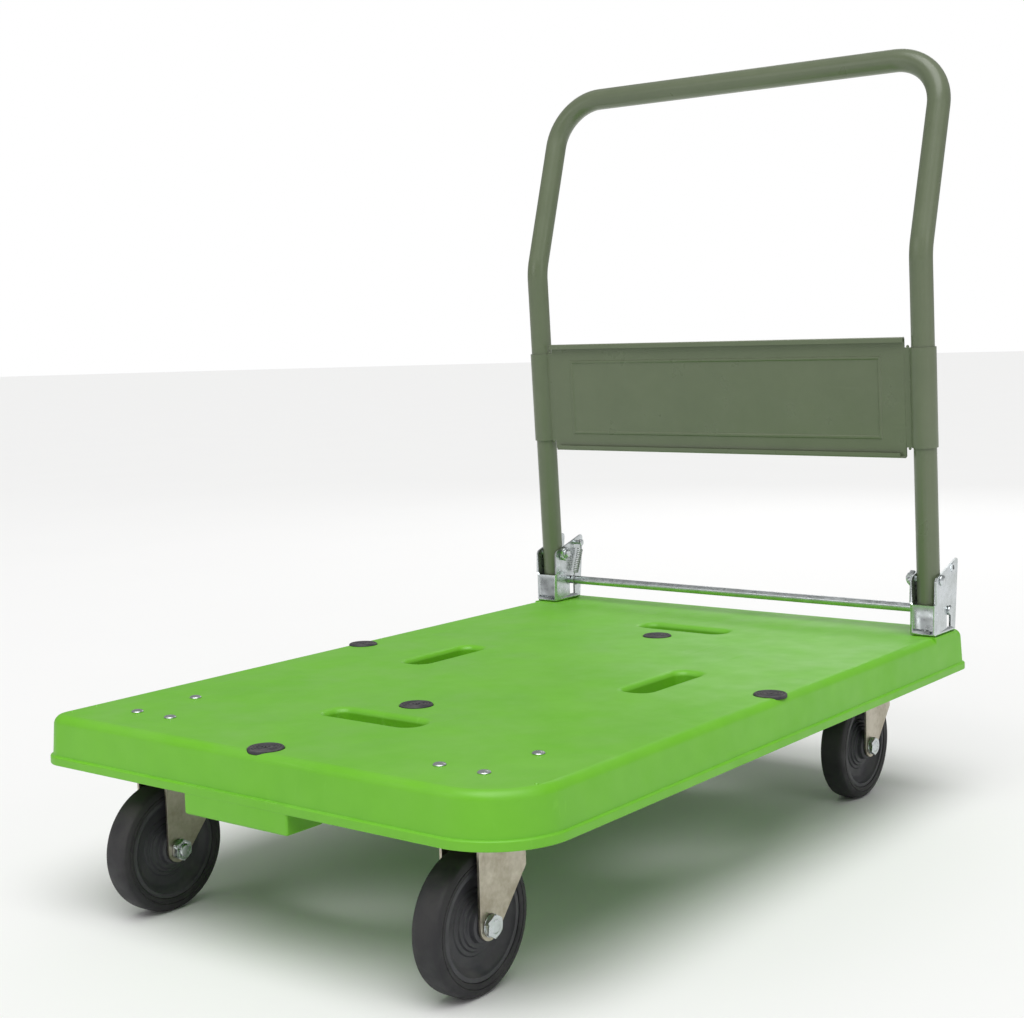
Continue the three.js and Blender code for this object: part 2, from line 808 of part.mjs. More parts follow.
function buildBracket(side) {
  const half = bracketOuterWidth / 2;
  const inner = bracketInnerWidth / 2;
  const web = boxBetween([-half, 0, 0], [half, bracket.sheet, bracket.webHeight]);
  const floor = boxBetween([-half, 0, 0], [half, bracket.footLength, bracket.sheet]);
  const cheeks = [plateAlongX(cheekOutline(), -half, -inner), plateAlongX(cheekOutline(), inner, half)];
  const body = unite(web, floor, ...cheeks);
  const slotTop = bracket.tabHeight + bracket.tabSlot;
  const x0 = -inner + bracket.tabSlotStart;
  const x1 = inner - bracket.tabSlotEnd;
  const tools = [
    boxBetween([x0, -CUT, bracket.tabHeight], [x1, bracket.sheet + CUT, slotTop]),
    boxBetween([x1 - 2 * bracket.tabSlot, -CUT, bracket.sheet + CUT], [x1, bracket.sheet + CUT, slotTop]),
    rodAlongX(pivot.boltRadius + FIT_GAP, -half - CUT, half + CUT, pivotSetback, pivot.height),
    barSlot(-half - CUT, half + CUT),
    ...bracketBolt.setbacks.map((y) =>
      rodAlongZ(bracketBolt.shankRadius + FIT_GAP, -CUT, bracket.sheet + CUT, 0, y, facets.screw)),
  ];
  const peak = [spring.setback, spring.postHeight];
  const inward = [-side * (half + CUT), -side * (inner - CUT)].sort((a, b) => a - b);
  tools.push(rodAlongX(spring.postRadius + FIT_GAP, ...inward, ...peak, facets.post));
  const ringEnd = half + eyelet.height;
  const ring = rodAlongX(eyelet.radius, inner + CUT, ringEnd, ...peak);
  const bore = rodAlongX(eyelet.bore, inner - CUT, ringEnd + CUT, ...peak, facets.post);
  return cutAll(body.add(ring.scale([side, 1, 1])), ...tools, bore.scale([side, 1, 1]));
}

function buildPivotBolt(side) {
  const half = bracketOuterWidth / 2;
  const head = half + FIT_GAP;
  const crown = head + pivot.headThickness;
  const tip = -half - pivot.nutThickness - pivot.threadOverrun;
  const bolt = turnedAboutX([
    [0, tip],
    [pivot.boltRadius, tip],
    [pivot.boltRadius, head],
    [pivot.headRadius, head],
    [pivot.headRadius, head + pivot.headRim],
    [pivot.headRadius * pivot.headCrownRatio, crown],
    [0, crown],
  ], facets.rod);
  return bolt.scale([side, 1, 1]).translate([0, pivotSetback, pivot.height]);
}

function buildPivotNut(side) {
  const start = -bracketOuterWidth / 2 - FIT_GAP;
  const end = start - pivot.nutThickness;
  const nut = hexagonAlongX(pivot.nutAcross, end, start);
  const bored = nut.subtract(rodAlongX(pivot.boltRadius + FIT_GAP, end - CUT, start + CUT, 0, 0));
  return bored.scale([side, 1, 1]).translate([0, pivotSetback, pivot.height]);
}

// The post is riveted in the inner cheek and stays out of the channel that the tail swings through.
function buildSpringPost(side) {
  const half = bracketOuterWidth / 2;
  const inner = bracketInnerWidth / 2;
  const tip = -half - spring.standOff - spring.coilRadius;
  const headEnd = tip + spring.postHeadThickness;
  const root = -inner - FIT_GAP;
  const post = turnedAboutX([
    [0, tip],
    [spring.postHeadRadius, tip],
    [spring.postHeadRadius, headEnd],
    [spring.postRadius, headEnd],
    [spring.postRadius, root],
    [0, root],
  ], facets.post);
  return post.scale([side, 1, 1]).translate([0, spring.setback, spring.postHeight]);
}

function buildSpring(side) {
  const x = -(bracketOuterWidth / 2 + spring.standOff);
  const clear = spring.wireRadius + FIT_GAP;
  const top = new THREE.Vector3(x, spring.setback, spring.postHeight - spring.postHeadRadius - clear);
  const bottom = new THREE.Vector3(x, barSetback, footBar.height + footBar.radius + clear + spring.wireRadius);
  const axis = bottom.clone().sub(top);
  const along = axis.clone().normalize();
  const across = new THREE.Vector3(1, 0, 0);
  const third = new THREE.Vector3().crossVectors(along, across);
  const steps = spring.turns * spring.stepsPerTurn;
  const rate = (2 * Math.PI * spring.turns) / axis.length();
  const stations = [];
  for (let i = 0; i <= steps; i += 1) {
    const angle = (2 * Math.PI * i) / spring.stepsPerTurn;
    const out = across.clone().multiplyScalar(Math.cos(angle)).addScaledVector(third, Math.sin(angle));
    const round = across.clone().multiplyScalar(-Math.sin(angle)).addScaledVector(third, Math.cos(angle));
    const point = top.clone().addScaledVector(axis, i / steps).addScaledVector(out, spring.coilRadius);
    const tangent = along.clone().addScaledVector(round, rate * spring.coilRadius).normalize();
    stations.push({ point, tangent });
  }
  return sweep(stations, spring.wireRadius, spring.wireSides).scale([side, 1, 1]);
}

function buildBracketBolt() {
  const head = bracket.sheet + FIT_GAP;
  const tip = head - bracketBolt.shankLength;
  const crown = head + bracketBolt.headThickness;
  return turnedAboutZ([
    [0, tip],
    [bracketBolt.shankRadius, tip],
    [bracketBolt.shankRadius, head],
    [bracketBolt.headRadius, head],
    [bracketBolt.headRadius * bracketBolt.headCrownRatio, crown],
    [0, crown],
  ], facets.bracketBolt);
}

function addBracket(parent, name, side) {
  const group = addGroup(parent, side * bracketX, bracketFront, bracketFoot);
  addMesh(group, `handle_bracket_${name}`, buildBracket(side), ZINC());
  addMesh(group, `pivot_bolt_${name}`, buildPivotBolt(side), ZINC());
  addMesh(group, `pivot_nut_${name}`, buildPivotNut(side), ZINC());
  addMesh(group, `spring_post_${name}`, buildSpringPost(side), ZINC());
  addMesh(group, `return_spring_${name}`, buildSpring(side), BEARING_STEEL());
  for (const [index, label] of ['front', 'rear'].entries()) {
    const bolt = buildBracketBolt().translate([0, bracketBolt.setbacks[index], 0]);
    addMesh(group, `bracket_bolt_${name}_${label}`, bolt, ZINC());
  }
}

function buildFootBar() {
  const reach = bracketX + bracketOuterWidth / 2 + footBar.overhang;
  const { radius, endBevel } = footBar;
  const bar = turnedAboutX([
    [0, -reach],
    [radius - endBevel, -reach],
    [radius, -reach + endBevel],
    [radius, reach - endBevel],
    [radius - endBevel, reach],
    [0, reach],
  ], facets.footBar);
  return bar.translate([0, bracketFront + barSetback, bracketFoot + footBar.height]);
}

// ---------------------------------------------------------------- handle, about its pivot

function handleCorners() {
  const x = bracketX;
  const legDirection = new THREE.Vector3(0, -Math.sin(handle.legLean), Math.cos(handle.legLean));
  const upperDirection = new THREE.Vector3(0, Math.sin(handle.upperLean), Math.cos(handle.upperLean));
  const tail = legDirection.clone().multiplyScalar(-handle.tailLength);
  const bend = legDirection.clone().multiplyScalar((handle.bendHeight - pivot.height) / legDirection.z);
  const upperLength = (handle.topHeight - handle.bendHeight) / upperDirection.z;
  const top = bend.clone().addScaledVector(upperDirection, upperLength);
  const leftSide = [tail, bend, top].map((point) => point.clone().setX(-x));
  const rightSide = [top, bend, tail].map((point) => point.clone().setX(x));
  return [...leftSide, ...rightSide];
}

function buildHandleTube() {
  const radii = [handle.bendRadius, handle.cornerRadius, handle.cornerRadius, handle.bendRadius];
  const steps = [handle.bendSteps, handle.cornerSteps, handle.cornerSteps, handle.bendSteps];
  const route = roundedRoute(handleCorners(), radii, steps);
  const reach = bracketX + handle.tubeRadius + CUT;
  return cutAll(
    sweep(route, handle.tubeRadius, handle.sides),
    sweep(lengthened(route, CUT), handle.tubeRadius - handle.tubeWall, handle.sides),
    rodAlongX(pivot.boltRadius + FIT_GAP, -reach, reach, 0, 0),
  );
}

// A plug fills the tube's open tail; it is built about the leg's own axis.
function buildPlug(side) {
  const radius = (handle.tubeRadius - handle.tubeWall) * Math.cos(Math.PI / handle.sides) - FIT_GAP;
  const end = -handle.tailLength;
  return rodAlongZ(radius, end, end + handle.plugLength, side * bracketX, 0, handle.sides);
}

function buildPanel() {
  const { bottom, height, sheet, forward } = panel;
  const top = bottom + height;
  const reach = bracketX - panel.endGap;
  const face = -forward;
  const sheetBox = boxBetween([-reach, face, bottom], [reach, face + sheet, top]);
  const collarLow = bottom + panel.collarInset;
  const collarHigh = top - panel.collarInset;
  const arm = boxBetween([-bracketX, face, collarLow], [bracketX, face + sheet, collarHigh]);
  const flangeFront = face - panel.flangeDepth;
  const flange = (low, taper) => prism([
    new THREE.Vector2(-reach, face + sheet),
    new THREE.Vector2(-reach + taper, flangeFront),
    new THREE.Vector2(reach - taper, flangeFront),
    new THREE.Vector2(reach, face + sheet),
  ], low, low + panel.flangeHeight);
  const boreRadius = handle.tubeRadius + FIT_GAP;
  const collars = [];
  const bores = [];
  for (const x of [-bracketX, bracketX]) {
    collars.push(rodAlongZ(boreRadius + panel.collarSheet, collarLow, collarHigh, x, 0, panel.collarSides));
    bores.push(rodAlongZ(boreRadius, bottom, top, x, 0, panel.collarSides));
  }
  const beadX = reach - panel.beadSideInset;
  const beadLow = bottom + panel.beadEdgeInset;
  const beadHigh = top - panel.beadEdgeInset;
  const beadFront = face - panel.beadHeight;
  const w = panel.beadWidth;
  const bead = boxBetween([-beadX, beadFront, beadLow], [beadX, face + sheet / 2, beadHigh]);
  const beadMiddle = boxBetween(
    [-beadX + w, beadFront - CUT, beadLow + w],
    [beadX - w, face + sheet, beadHigh - w],
  );
  const flanges = [flange(bottom, panel.flangeTaper), flange(top - panel.flangeHeight, 0)];
  const body = unite(sheetBox, arm, ...flanges, bead.subtract(beadMiddle), ...collars);
  return cutAll(body, ...bores);
}

function addHandle(parent) {
  const group = addGroup(parent, 0, bracketFront + pivotSetback, bracketFoot + pivot.height);
  addMesh(group, 'handle_tube', buildHandleTube(), OLIVE_PAINT());
  const leaning = addGroup(group, 0, 0, 0);
  leaning.rotation.x = handle.legLean;
  addMesh(leaning, 'handle_panel', buildPanel(), OLIVE_PAINT());
  addMesh(leaning, 'tube_plug_left', buildPlug(-1), BLACK_RUBBER());
  addMesh(leaning, 'tube_plug_right', buildPlug(1), BLACK_RUBBER());
}

// ---------------------------------------------------------------- assembly

const cart = new THREE.Group();
addMesh(cart, 'deck', buildDeck(), GREEN_PLASTIC());
for (const [name, spot] of Object.entries(padSpots)) addMesh(cart, name, buildPad(spot), GREY_RUBBER());
addFixedCaster(cart, 'front_left', -1);
addFixedCaster(cart, 'front_right', 1);
addSwivelCaster(cart, 'rear_left', -1);
addSwivelCaster(cart, 'rear_right', 1);
addBracket(cart, 'left', -1);
addBracket(cart, 'right', 1);
addMesh(cart, 'foot_bar', buildFootBar(), ZINC());
addHandle(cart);

export default cart;
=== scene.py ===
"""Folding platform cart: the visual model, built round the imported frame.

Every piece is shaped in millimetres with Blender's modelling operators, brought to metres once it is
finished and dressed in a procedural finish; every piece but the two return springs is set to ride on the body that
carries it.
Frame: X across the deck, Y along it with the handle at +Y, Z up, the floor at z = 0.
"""

import json
import logging
import math
from contextlib import contextmanager
from dataclasses import dataclass, field
from enum import Enum
from typing import Callable, Iterator, Optional, Sequence

import bmesh
import bpy
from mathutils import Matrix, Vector

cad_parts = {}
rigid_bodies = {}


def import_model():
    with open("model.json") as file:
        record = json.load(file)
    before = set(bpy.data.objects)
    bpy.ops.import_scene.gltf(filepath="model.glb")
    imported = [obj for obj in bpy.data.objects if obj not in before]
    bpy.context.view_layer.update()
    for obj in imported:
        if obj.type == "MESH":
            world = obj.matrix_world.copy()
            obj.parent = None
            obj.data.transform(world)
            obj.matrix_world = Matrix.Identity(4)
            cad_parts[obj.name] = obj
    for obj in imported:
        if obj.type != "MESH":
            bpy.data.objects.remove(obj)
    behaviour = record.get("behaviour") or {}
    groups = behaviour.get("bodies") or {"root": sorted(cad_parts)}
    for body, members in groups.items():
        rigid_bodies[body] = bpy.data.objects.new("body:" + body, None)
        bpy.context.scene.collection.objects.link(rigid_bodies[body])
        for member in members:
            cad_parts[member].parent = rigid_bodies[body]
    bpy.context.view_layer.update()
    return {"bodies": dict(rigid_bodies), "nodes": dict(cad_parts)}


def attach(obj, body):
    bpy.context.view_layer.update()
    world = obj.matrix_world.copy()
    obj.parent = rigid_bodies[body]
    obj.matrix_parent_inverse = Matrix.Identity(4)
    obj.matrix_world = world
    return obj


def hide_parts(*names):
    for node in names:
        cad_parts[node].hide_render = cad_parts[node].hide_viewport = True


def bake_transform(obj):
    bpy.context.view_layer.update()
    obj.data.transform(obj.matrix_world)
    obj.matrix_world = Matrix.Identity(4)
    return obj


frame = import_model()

log = logging.getLogger("cart")

MM = 0.001
FULL_TURN = 2 * math.pi
WHEEL_STEPS = 84
FIT_GAP = 0.3

Point = tuple[float, float, float]
Colour = tuple[float, float, float, float]
Test = Callable[[Vector, Vector], bool]


# ---------------------------------------------------------------- the bench: one hand tool per function


class Pick(Enum):
    """What a selection is made of."""

    VERTS = "VERT"
    EDGES = "EDGE"
    FACES = "FACE"


class Join(Enum):
    """How one solid is combined with another."""

    CUT = "DIFFERENCE"
    WELD = "UNION"
    SHARE = "INTERSECT"


class Axis(Enum):
    """The axis that a turned piece lies along, as the turn that brings Z onto it."""

    X = (0.0, math.pi / 2, 0.0)
    Z = (0.0, 0.0, 0.0)


def work_on(piece: bpy.types.Object) -> None:
    """Makes one piece the only selected and the active one."""
    bpy.ops.object.select_all(action="DESELECT")
    piece.select_set(True)
    bpy.context.view_layer.objects.active = piece


@contextmanager
def editing(piece: bpy.types.Object) -> Iterator[None]:
    """Opens a piece in edit mode with nothing selected, and closes it afterwards."""
    work_on(piece)
    bpy.ops.object.mode_set(mode="EDIT")
    bpy.ops.mesh.select_all(action="DESELECT")
    yield
    bpy.ops.object.mode_set(mode="OBJECT")


def pick(piece: bpy.types.Object, what: Pick, test: Test) -> None:
    """Selects the parts of a piece in edit mode whose place passes a test.

    Args:
        piece: the piece being edited.
        what: whether vertices, edges or faces are looked at.
        test: gets the middle and the normal of a vertex or face, or the middle and direction of an edge.
    """
    bpy.ops.mesh.select_mode(type=what.value)
    bpy.ops.mesh.select_all(action="DESELECT")
    shape = bmesh.from_edit_mesh(piece.data)
    if what is Pick.VERTS:
        chosen = [v for v in shape.verts if test(v.co, v.normal)]
    elif what is Pick.EDGES:
        ends = [(e, e.verts[0].co, e.verts[1].co) for e in shape.edges]
        chosen = [e for e, a, b in ends if test((a + b) / 2, (b - a).normalized())]
    else:
        chosen = [f for f in shape.faces if test(f.calc_center_median(), f.normal)]
    for part in chosen:
        part.select_set(True)
    shape.select_flush_mode()
    bmesh.update_edit_mesh(piece.data)


def move(by: Point) -> None:
    """Moves the selection."""
    bpy.ops.transform.translate(value=by)


def scale(by: Point, about: Point) -> None:
    """Scales the selection about a point."""
    bpy.ops.transform.resize(value=by, center_override=about)


def extrude(by: Point) -> None:
    """Extrudes the selection and moves what is new."""
    bpy.ops.mesh.extrude_region_move(TRANSFORM_OT_translate={"value": by})


def step_in(steps: Sequence[tuple[float, float]]) -> None:
    """Insets the selected faces again and again, each time by (how far in, how far out along the normal)."""
    for inward, outward in steps:
        bpy.ops.mesh.inset(thickness=inward, depth=outward, use_even_offset=True)


def quarter_round(radius: float, segments: int, outward: bool = True) -> list[tuple[float, float]]:
    """Gives the step_in moves of a quarter circle, from along the wall to flat or the reverse."""
    angles = [math.pi / 2 * i / segments for i in range(segments + 1)]
    places = [(radius * (1 - math.cos(a)), radius * math.sin(a)) for a in angles]
    if not outward:
        places = [(radius * math.sin(a), radius * (1 - math.cos(a))) for a in angles]
    return [(b[0] - a[0], b[1] - a[1]) for a, b in zip(places, places[1:])]


def bevel(offset: float, segments: int, corners: bool = False) -> None:
    """Bevels the selected edges, or the selected vertices where corners is true."""
    affect = "VERTICES" if corners else "EDGES"
    bpy.ops.mesh.bevel(offset=offset, offset_type="OFFSET", segments=segments, profile=0.5, affect=affect)


def apply_place(piece: bpy.types.Object) -> None:
    """Puts a piece's place, turn and scale into its mesh."""
    work_on(piece)
    bpy.ops.object.transform_apply(location=True, rotation=True, scale=True)


def modify(piece: bpy.types.Object, kind: str, **settings: object) -> None:
    """Adds a modifier to a piece, sets it and applies it."""
    work_on(piece)
    modifier = piece.modifiers.new(kind.title(), kind)
    for key, value in settings.items():
        setattr(modifier, key, value)
    bpy.ops.object.modifier_apply(modifier=modifier.name)


def combine(piece: bpy.types.Object, tool: bpy.types.Object, how: Join) -> None:
    """Cuts, welds or shares a piece with a tool, which is used up."""
    modify(piece, "BOOLEAN", object=tool, operation=how.value, solver="EXACT")
    bpy.data.meshes.remove(tool.data)


def named(name: str) -> bpy.types.Object:
    """Names the primitive that was just added, with its place in its mesh."""
    piece = bpy.context.object
    piece.name = piece.data.name = name
    apply_place(piece)
    return piece


def block(name: str, low: Point, high: Point) -> bpy.types.Object:
    """Adds a cube stretched between two corners."""
    middle = [(a + b) / 2 for a, b in zip(low, high)]
    size = [b - a for a, b in zip(low, high)]
    bpy.ops.mesh.primitive_cube_add(size=1, location=middle, scale=size)
    return named(name)


def slab(
    name: str,
    low: Point,
    high: Point,
    front_radius: float,
    rear_radius: float,
    segments: int = 10,
    left_radius: Optional[float] = None,
) -> bpy.types.Object:
    """Adds a block whose upright edges are rounded, with one radius in front and one at the rear.

    Args:
        name: the piece's name.
        low: its lowest corner.
        high: its highest corner.
        front_radius: radius of the two edges at the lower y.
        rear_radius: radius of the two edges at the higher y.
        segments: facets in each rounded edge.
        left_radius: radius of the edge at the lower x and y, where it differs.

    Returns:
        The new piece.
    """
    piece = block(name, low, high)
    centre = Vector(((low[0] + high[0]) / 2, (low[1] + high[1]) / 2))
    with editing(piece):
        if left_radius is not None:
            pick(
                piece, Pick.EDGES,
                lambda c, d: abs(d.z) > 0.9 and c.y < centre.y and abs(c.x - low[0]) < 1e-3
            )
            bevel(left_radius, segments)
            pick(
                piece, Pick.EDGES,
                lambda c, d: abs(d.z) > 0.9 and c.y < centre.y and abs(c.x - high[0]) < 1e-3
            )
            bevel(front_radius, segments)
        else:
            pick(piece, Pick.EDGES, lambda c, d: abs(d.z) > 0.9 and c.y < centre.y)
            bevel(front_radius, segments)
        pick(piece, Pick.EDGES, lambda c, d: abs(d.z) > 0.9 and abs(c.y - high[1]) < 1e-3)
        bevel(rear_radius, segments)
    return piece


def sheet_plane(name: str, low: Point, high: Point) -> bpy.types.Object:
    """Adds a level plane between two corners that share one height."""
    middle = [(a + b) / 2 for a, b in zip(low, high)]
    bpy.ops.mesh.primitive_plane_add(size=1, location=middle)
    bpy.context.object.scale = (high[0] - low[0], high[1] - low[1], 1)
    return named(name)


def turned(
    name: str,
    profile: Sequence[tuple[float, float]],
    steps: int = 40,
    axis: Axis = Axis.Z,
    at: Point = (0, 0, 0),
) -> bpy.types.Object:
    """Draws half a section and spins it round, as on a lathe.

    Args:
        name: the piece's name.
        profile: (radius, place along the axis) pairs. A ring's profile ends where it starts.
        steps: facets in the full turn; six give a hexagon.
        axis: the axis that the piece ends up along.
        at: where the profile's own zero goes.

    Returns:
        The new piece, closed, with its faces pointing out.
    """
    bpy.ops.mesh.primitive_plane_add(size=1)
    piece = named(name)
    with editing(piece):
        bpy.ops.mesh.select_mode(type="VERT")
        bpy.ops.mesh.select_all(action="SELECT")
        bpy.ops.mesh.merge(type="CENTER")
        move((profile[0][0], 0, profile[0][1]))
        for (r0, a0), (r1, a1) in zip(profile, profile[1:]):
            extrude((r1 - r0, 0, a1 - a0))
        bpy.ops.mesh.select_all(action="SELECT")
        bpy.ops.mesh.spin(steps=steps, angle=FULL_TURN, center=(0, 0, 0), axis=(0, 0, 1))
        tidy_surface()
    piece.rotation_euler = axis.value
    piece.location = at
    apply_place(piece)
    return piece


def both_sides(side: Sequence[tuple[float, float]]) -> list[tuple[float, float]]:
    """Closes a ring's profile by adding its mirror image past zero along the axis."""
    return [*side, *((radius, -along) for radius, along in reversed(side)), side[0]]


def tidy_surface() -> None:
    """Merges doubles and points the faces out, in edit mode."""
    bpy.ops.mesh.select_all(action="SELECT")
    bpy.ops.mesh.remove_doubles(threshold=1e-3)
    bpy.ops.mesh.normals_make_consistent(inside=False)


def ring(
    inner: float, outer: float, start: float, end: float, ease: float = 0.4
) -> list[tuple[float, float]]:
    """Gives a washer's profile with its four corners eased off."""
    return [
        (inner, start + ease), (inner + ease, start), (outer - ease, start), (outer, start + ease),
        (outer, end - ease), (outer - ease, end), (inner + ease, end), (inner, end - ease),
        (inner, start + ease),
    ]


def hexagon(name: str, across: float, start: float, end: float, axis: Axis, at: Point) -> bpy.types.Object:
    """Makes a hexagon head or nut whose corners are turned off at both ends.

    Args:
        name: the piece's name.
        across: the size across the flats.
        start: where it starts along the axis.
        end: where it ends.
        axis: the axis that it lies along.
        at: where the axis stands.

    Returns:
        The new piece.
    """
    corner = across / math.sqrt(3)
    ease = (corner - across / 2) * 0.6
    piece = turned(name, [(0, start), (corner, start), (corner, end), (0, end)], 6, axis, at)
    flat = across / 2 * 0.95
    rim = corner * 1.02
    blank = [(0, start), (flat, start), (rim, start + ease), (rim, end - ease), (flat, end), (0, end)]
    combine(piece, turned("blank", blank, 36, axis, at), Join.SHARE)
    return piece


@dataclass(frozen=True)
class Run:
    """A straight length of tube."""

    by: Vector


@dataclass(frozen=True)
class Bend:
    """A bend in a tube, about an axis through a centre."""

    centre: Vector
    axis: Vector
    angle: float
    steps: int


def rounded_route(
    corners: Sequence[Vector], radii: Sequence[float], steps: Sequence[int]
) -> list[Run | Bend]:
    """Works out the runs and bends of a tube from the corners that its straight lengths would meet at.

    Args:
        corners: the start, every corner, and the end.
        radii: the bend radius at each corner between the start and the end.
        steps: the facets along each bend.

    Returns:
        The runs and bends in order.
    """
    route: list[Run | Bend] = []
    here = corners[0]
    for i, corner in enumerate(corners[1:-1]):
        into = (corner - corners[i]).normalized()
        out = (corners[i + 2] - corner).normalized()
        angle = into.angle(out)
        start = corner - into * radii[i] * math.tan(angle / 2)
        side = (out - into * out.dot(into)).normalized()
        route.append(Run(start - here))
        route.append(Bend(start + side * radii[i], into.cross(out).normalized(), angle, steps[i]))
        here = corner + out * radii[i] * math.tan(angle / 2)
    route.append(Run(corners[-1] - here))
    return route


def drawn_tube(
    name: str, radius: float, sides: int, start: Vector, route: Sequence[Run | Bend]
) -> bpy.types.Object:
    """Draws a round section along runs and bends, as a tube bender does.

    Args:
        name: the piece's name.
        radius: the section's radius.
        sides: the section's facets.
        start: the middle of the first section.
        route: runs and bends in order, starting with a run.

    Returns:
        The new piece, with both ends open.
    """
    facing = route[0].by.to_track_quat("Z", "Y").to_euler()
    bpy.ops.mesh.primitive_circle_add(
        vertices=sides, radius=radius, fill_type="NOTHING", location=start, rotation=facing
    )
    piece = named(name)
    with editing(piece):
        bpy.ops.mesh.select_all(action="SELECT")
        for length in route:
            if isinstance(length, Run):
                extrude(length.by)
            else:
                bpy.ops.mesh.spin(
                    steps=length.steps, angle=length.angle, center=length.centre, axis=-length.axis
                )
        tidy_surface()
    return piece


def copied(
    piece: bpy.types.Object, name: str, by: Point = (0, 0, 0), mirror: bool = False
) -> bpy.types.Object:
    """Copies a piece with its own mesh, moved, and mirrored left to right first where asked.

    Args:
        piece: what is copied.
        name: the copy's name.
        by: how far the copy is moved.
        mirror: whether it is mirrored across x = 0 before it is moved.

    Returns:
        The copy.
    """
    work_on(piece)
    bpy.ops.object.duplicate(linked=False)
    twin = bpy.context.object
    twin.name = twin.data.name = name
    twin.scale = (-1 if mirror else 1, 1, 1)
    twin.location = by
    apply_place(twin)
    if mirror:
        with editing(twin):
            tidy_surface()
    return twin


def absorb(piece: bpy.types.Object, *others: bpy.types.Object) -> None:
    """Joins loose parts into a piece without welding them."""
    work_on(piece)
    for other in others:
        other.select_set(True)
    bpy.ops.object.join()


def polish(piece: bpy.types.Object, ease: float = 0.0, segments: int = 2, sharp: float = 32.0) -> None:
    """Eases a piece's edges and shades it: flat faces stay flat and round ones smooth.

    Args:
        piece: the piece, still in millimetres.
        ease: width of the rounding on every edge sharper than the limit, or 0 for none.
        segments: facets in that rounding.
        sharp: the limit in degrees.
    """
    limit = math.radians(sharp)
    if ease > 0:
        modify(
            piece, "BEVEL", width=ease, segments=segments, limit_method="ANGLE", angle_limit=limit,
            use_clamp_overlap=True, miter_outer="MITER_ARC",
        )
    work_on(piece)
    bpy.ops.object.shade_smooth_by_angle(angle=limit)
    modify(piece, "WEIGHTED_NORMAL", keep_sharp=True, weight=80)


# ---------------------------------------------------------------- finishes


class Shared(Enum):
    """The shader node groups that several finishes use."""

    CLOUDS = "cloudy tone"
    GRAIN = "fine grain"
    WEAR = "edge wear"
    DUST = "settled dust"
    SCUFFS = "scuffs"


class Bench:
    """Adds nodes to one tree and wires them up."""

    def __init__(self, tree: bpy.types.NodeTree) -> None:
        """Keeps the tree that is being wired."""
        self.tree = tree

    def add(
        self, kind: str, values: dict[str | int, object] | None = None, **settings: object
    ) -> bpy.types.Node:
        """Adds a node.

        Args:
            kind: the node's type without its ShaderNode prefix.
            values: what its inputs hold: a number or colour, or another node's output to link.
            **settings: the node's own settings.

        Returns:
            The node.
        """
        node = self.tree.nodes.new("ShaderNode" + kind)
        for key, value in settings.items():
            setattr(node, key, value)
        for key, value in (values or {}).items():
            if isinstance(value, bpy.types.NodeSocket):
                self.tree.links.new(value, node.inputs[key])
            else:
                node.inputs[key].default_value = value
        return node

    def math(self, operation: str, first: object, second: object = 0.5) -> bpy.types.NodeSocket:
        """Adds one sum, clamped to 0 to 1, and gives its output."""
        return self.add("Math", {0: first, 1: second}, operation=operation, use_clamp=True).outputs[0]

    def noise(self, vector: object, size: object, detail: float = 3.0) -> bpy.types.NodeSocket:
        """Adds a noise texture and gives its value."""
        return self.add("TexNoise", {"Vector": vector, "Scale": size, "Detail": detail}).outputs["Fac"]

    def ramp(
        self, value: object, low: object, high: object, to_low: float = 0.0, to_high: float = 1.0
    ) -> bpy.types.NodeSocket:
        """Maps a value from one range to another, clamped."""
        values = {"Value": value, "From Min": low, "From Max": high, "To Min": to_low, "To Max": to_high}
        return self.add("MapRange", values).outputs["Result"]

    def mix(self, mask: object, under: object, over: object) -> bpy.types.NodeSocket:
        """Mixes two colours by a mask and gives the result."""
        node = self.add("Mix", {0: mask, 6: under, 7: over}, data_type="RGBA")
        return node.outputs[2]


def group_shell(
    kind: Shared, inputs: dict[str, tuple[str, object]], outputs: dict[str, str]
) -> tuple[Bench, bpy.types.Node, bpy.types.Node]:
    """Starts a shared group with its named sockets.

    Args:
        kind: which group it is.
        inputs: each input's socket type and starting value.
        outputs: each output's socket type.

    Returns:
        The bench for its tree, its input node and its output node.
    """
    tree = bpy.data.node_groups.new(kind.value, "ShaderNodeTree")
    for name, (socket, value) in inputs.items():
        made = tree.interface.new_socket(name, in_out="INPUT", socket_type="NodeSocket" + socket)
        if value is not None:
            made.default_value = value
    for name, socket in outputs.items():
        tree.interface.new_socket(name, in_out="OUTPUT", socket_type="NodeSocket" + socket)
    return Bench(tree), tree.nodes.new("NodeGroupInput"), tree.nodes.new("NodeGroupOutput")


def clouds_group() -> None:
    """Builds the slow drift between a colour and its shade that any moulded or plated skin has."""
    inputs = {
        "Vector": ("Vector", None), "Scale": ("Float", 8.0), "Contrast": ("Float", 0.5),
        "Colour": ("Color", (0.5, 0.5, 0.5, 1)), "Shade": ("Color", (0.4, 0.4, 0.4, 1)),
    }
    bench, given, result = group_shell(Shared.CLOUDS, inputs, {"Colour": "Color", "Mask": "Float"})
    broad = bench.noise(given.outputs["Vector"], given.outputs["Scale"], 4.0)
    finer = bench.noise(
        given.outputs["Vector"],
        bench.add("Math", {0: given.outputs["Scale"], 1: 6.3}, operation="MULTIPLY").outputs[0], 5.0
    )
    both = bench.math("ADD", bench.math("MULTIPLY", broad, 0.65), bench.math("MULTIPLY", finer, 0.35))
    spread = bench.ramp(both, 0.36, 0.64)
    mask = bench.math("MULTIPLY", spread, given.outputs["Contrast"])
    colour = bench.mix(mask, given.outputs["Colour"], given.outputs["Shade"])
    bench.tree.links.new(colour, result.inputs["Colour"])
    bench.tree.links.new(mask, result.inputs["Mask"])


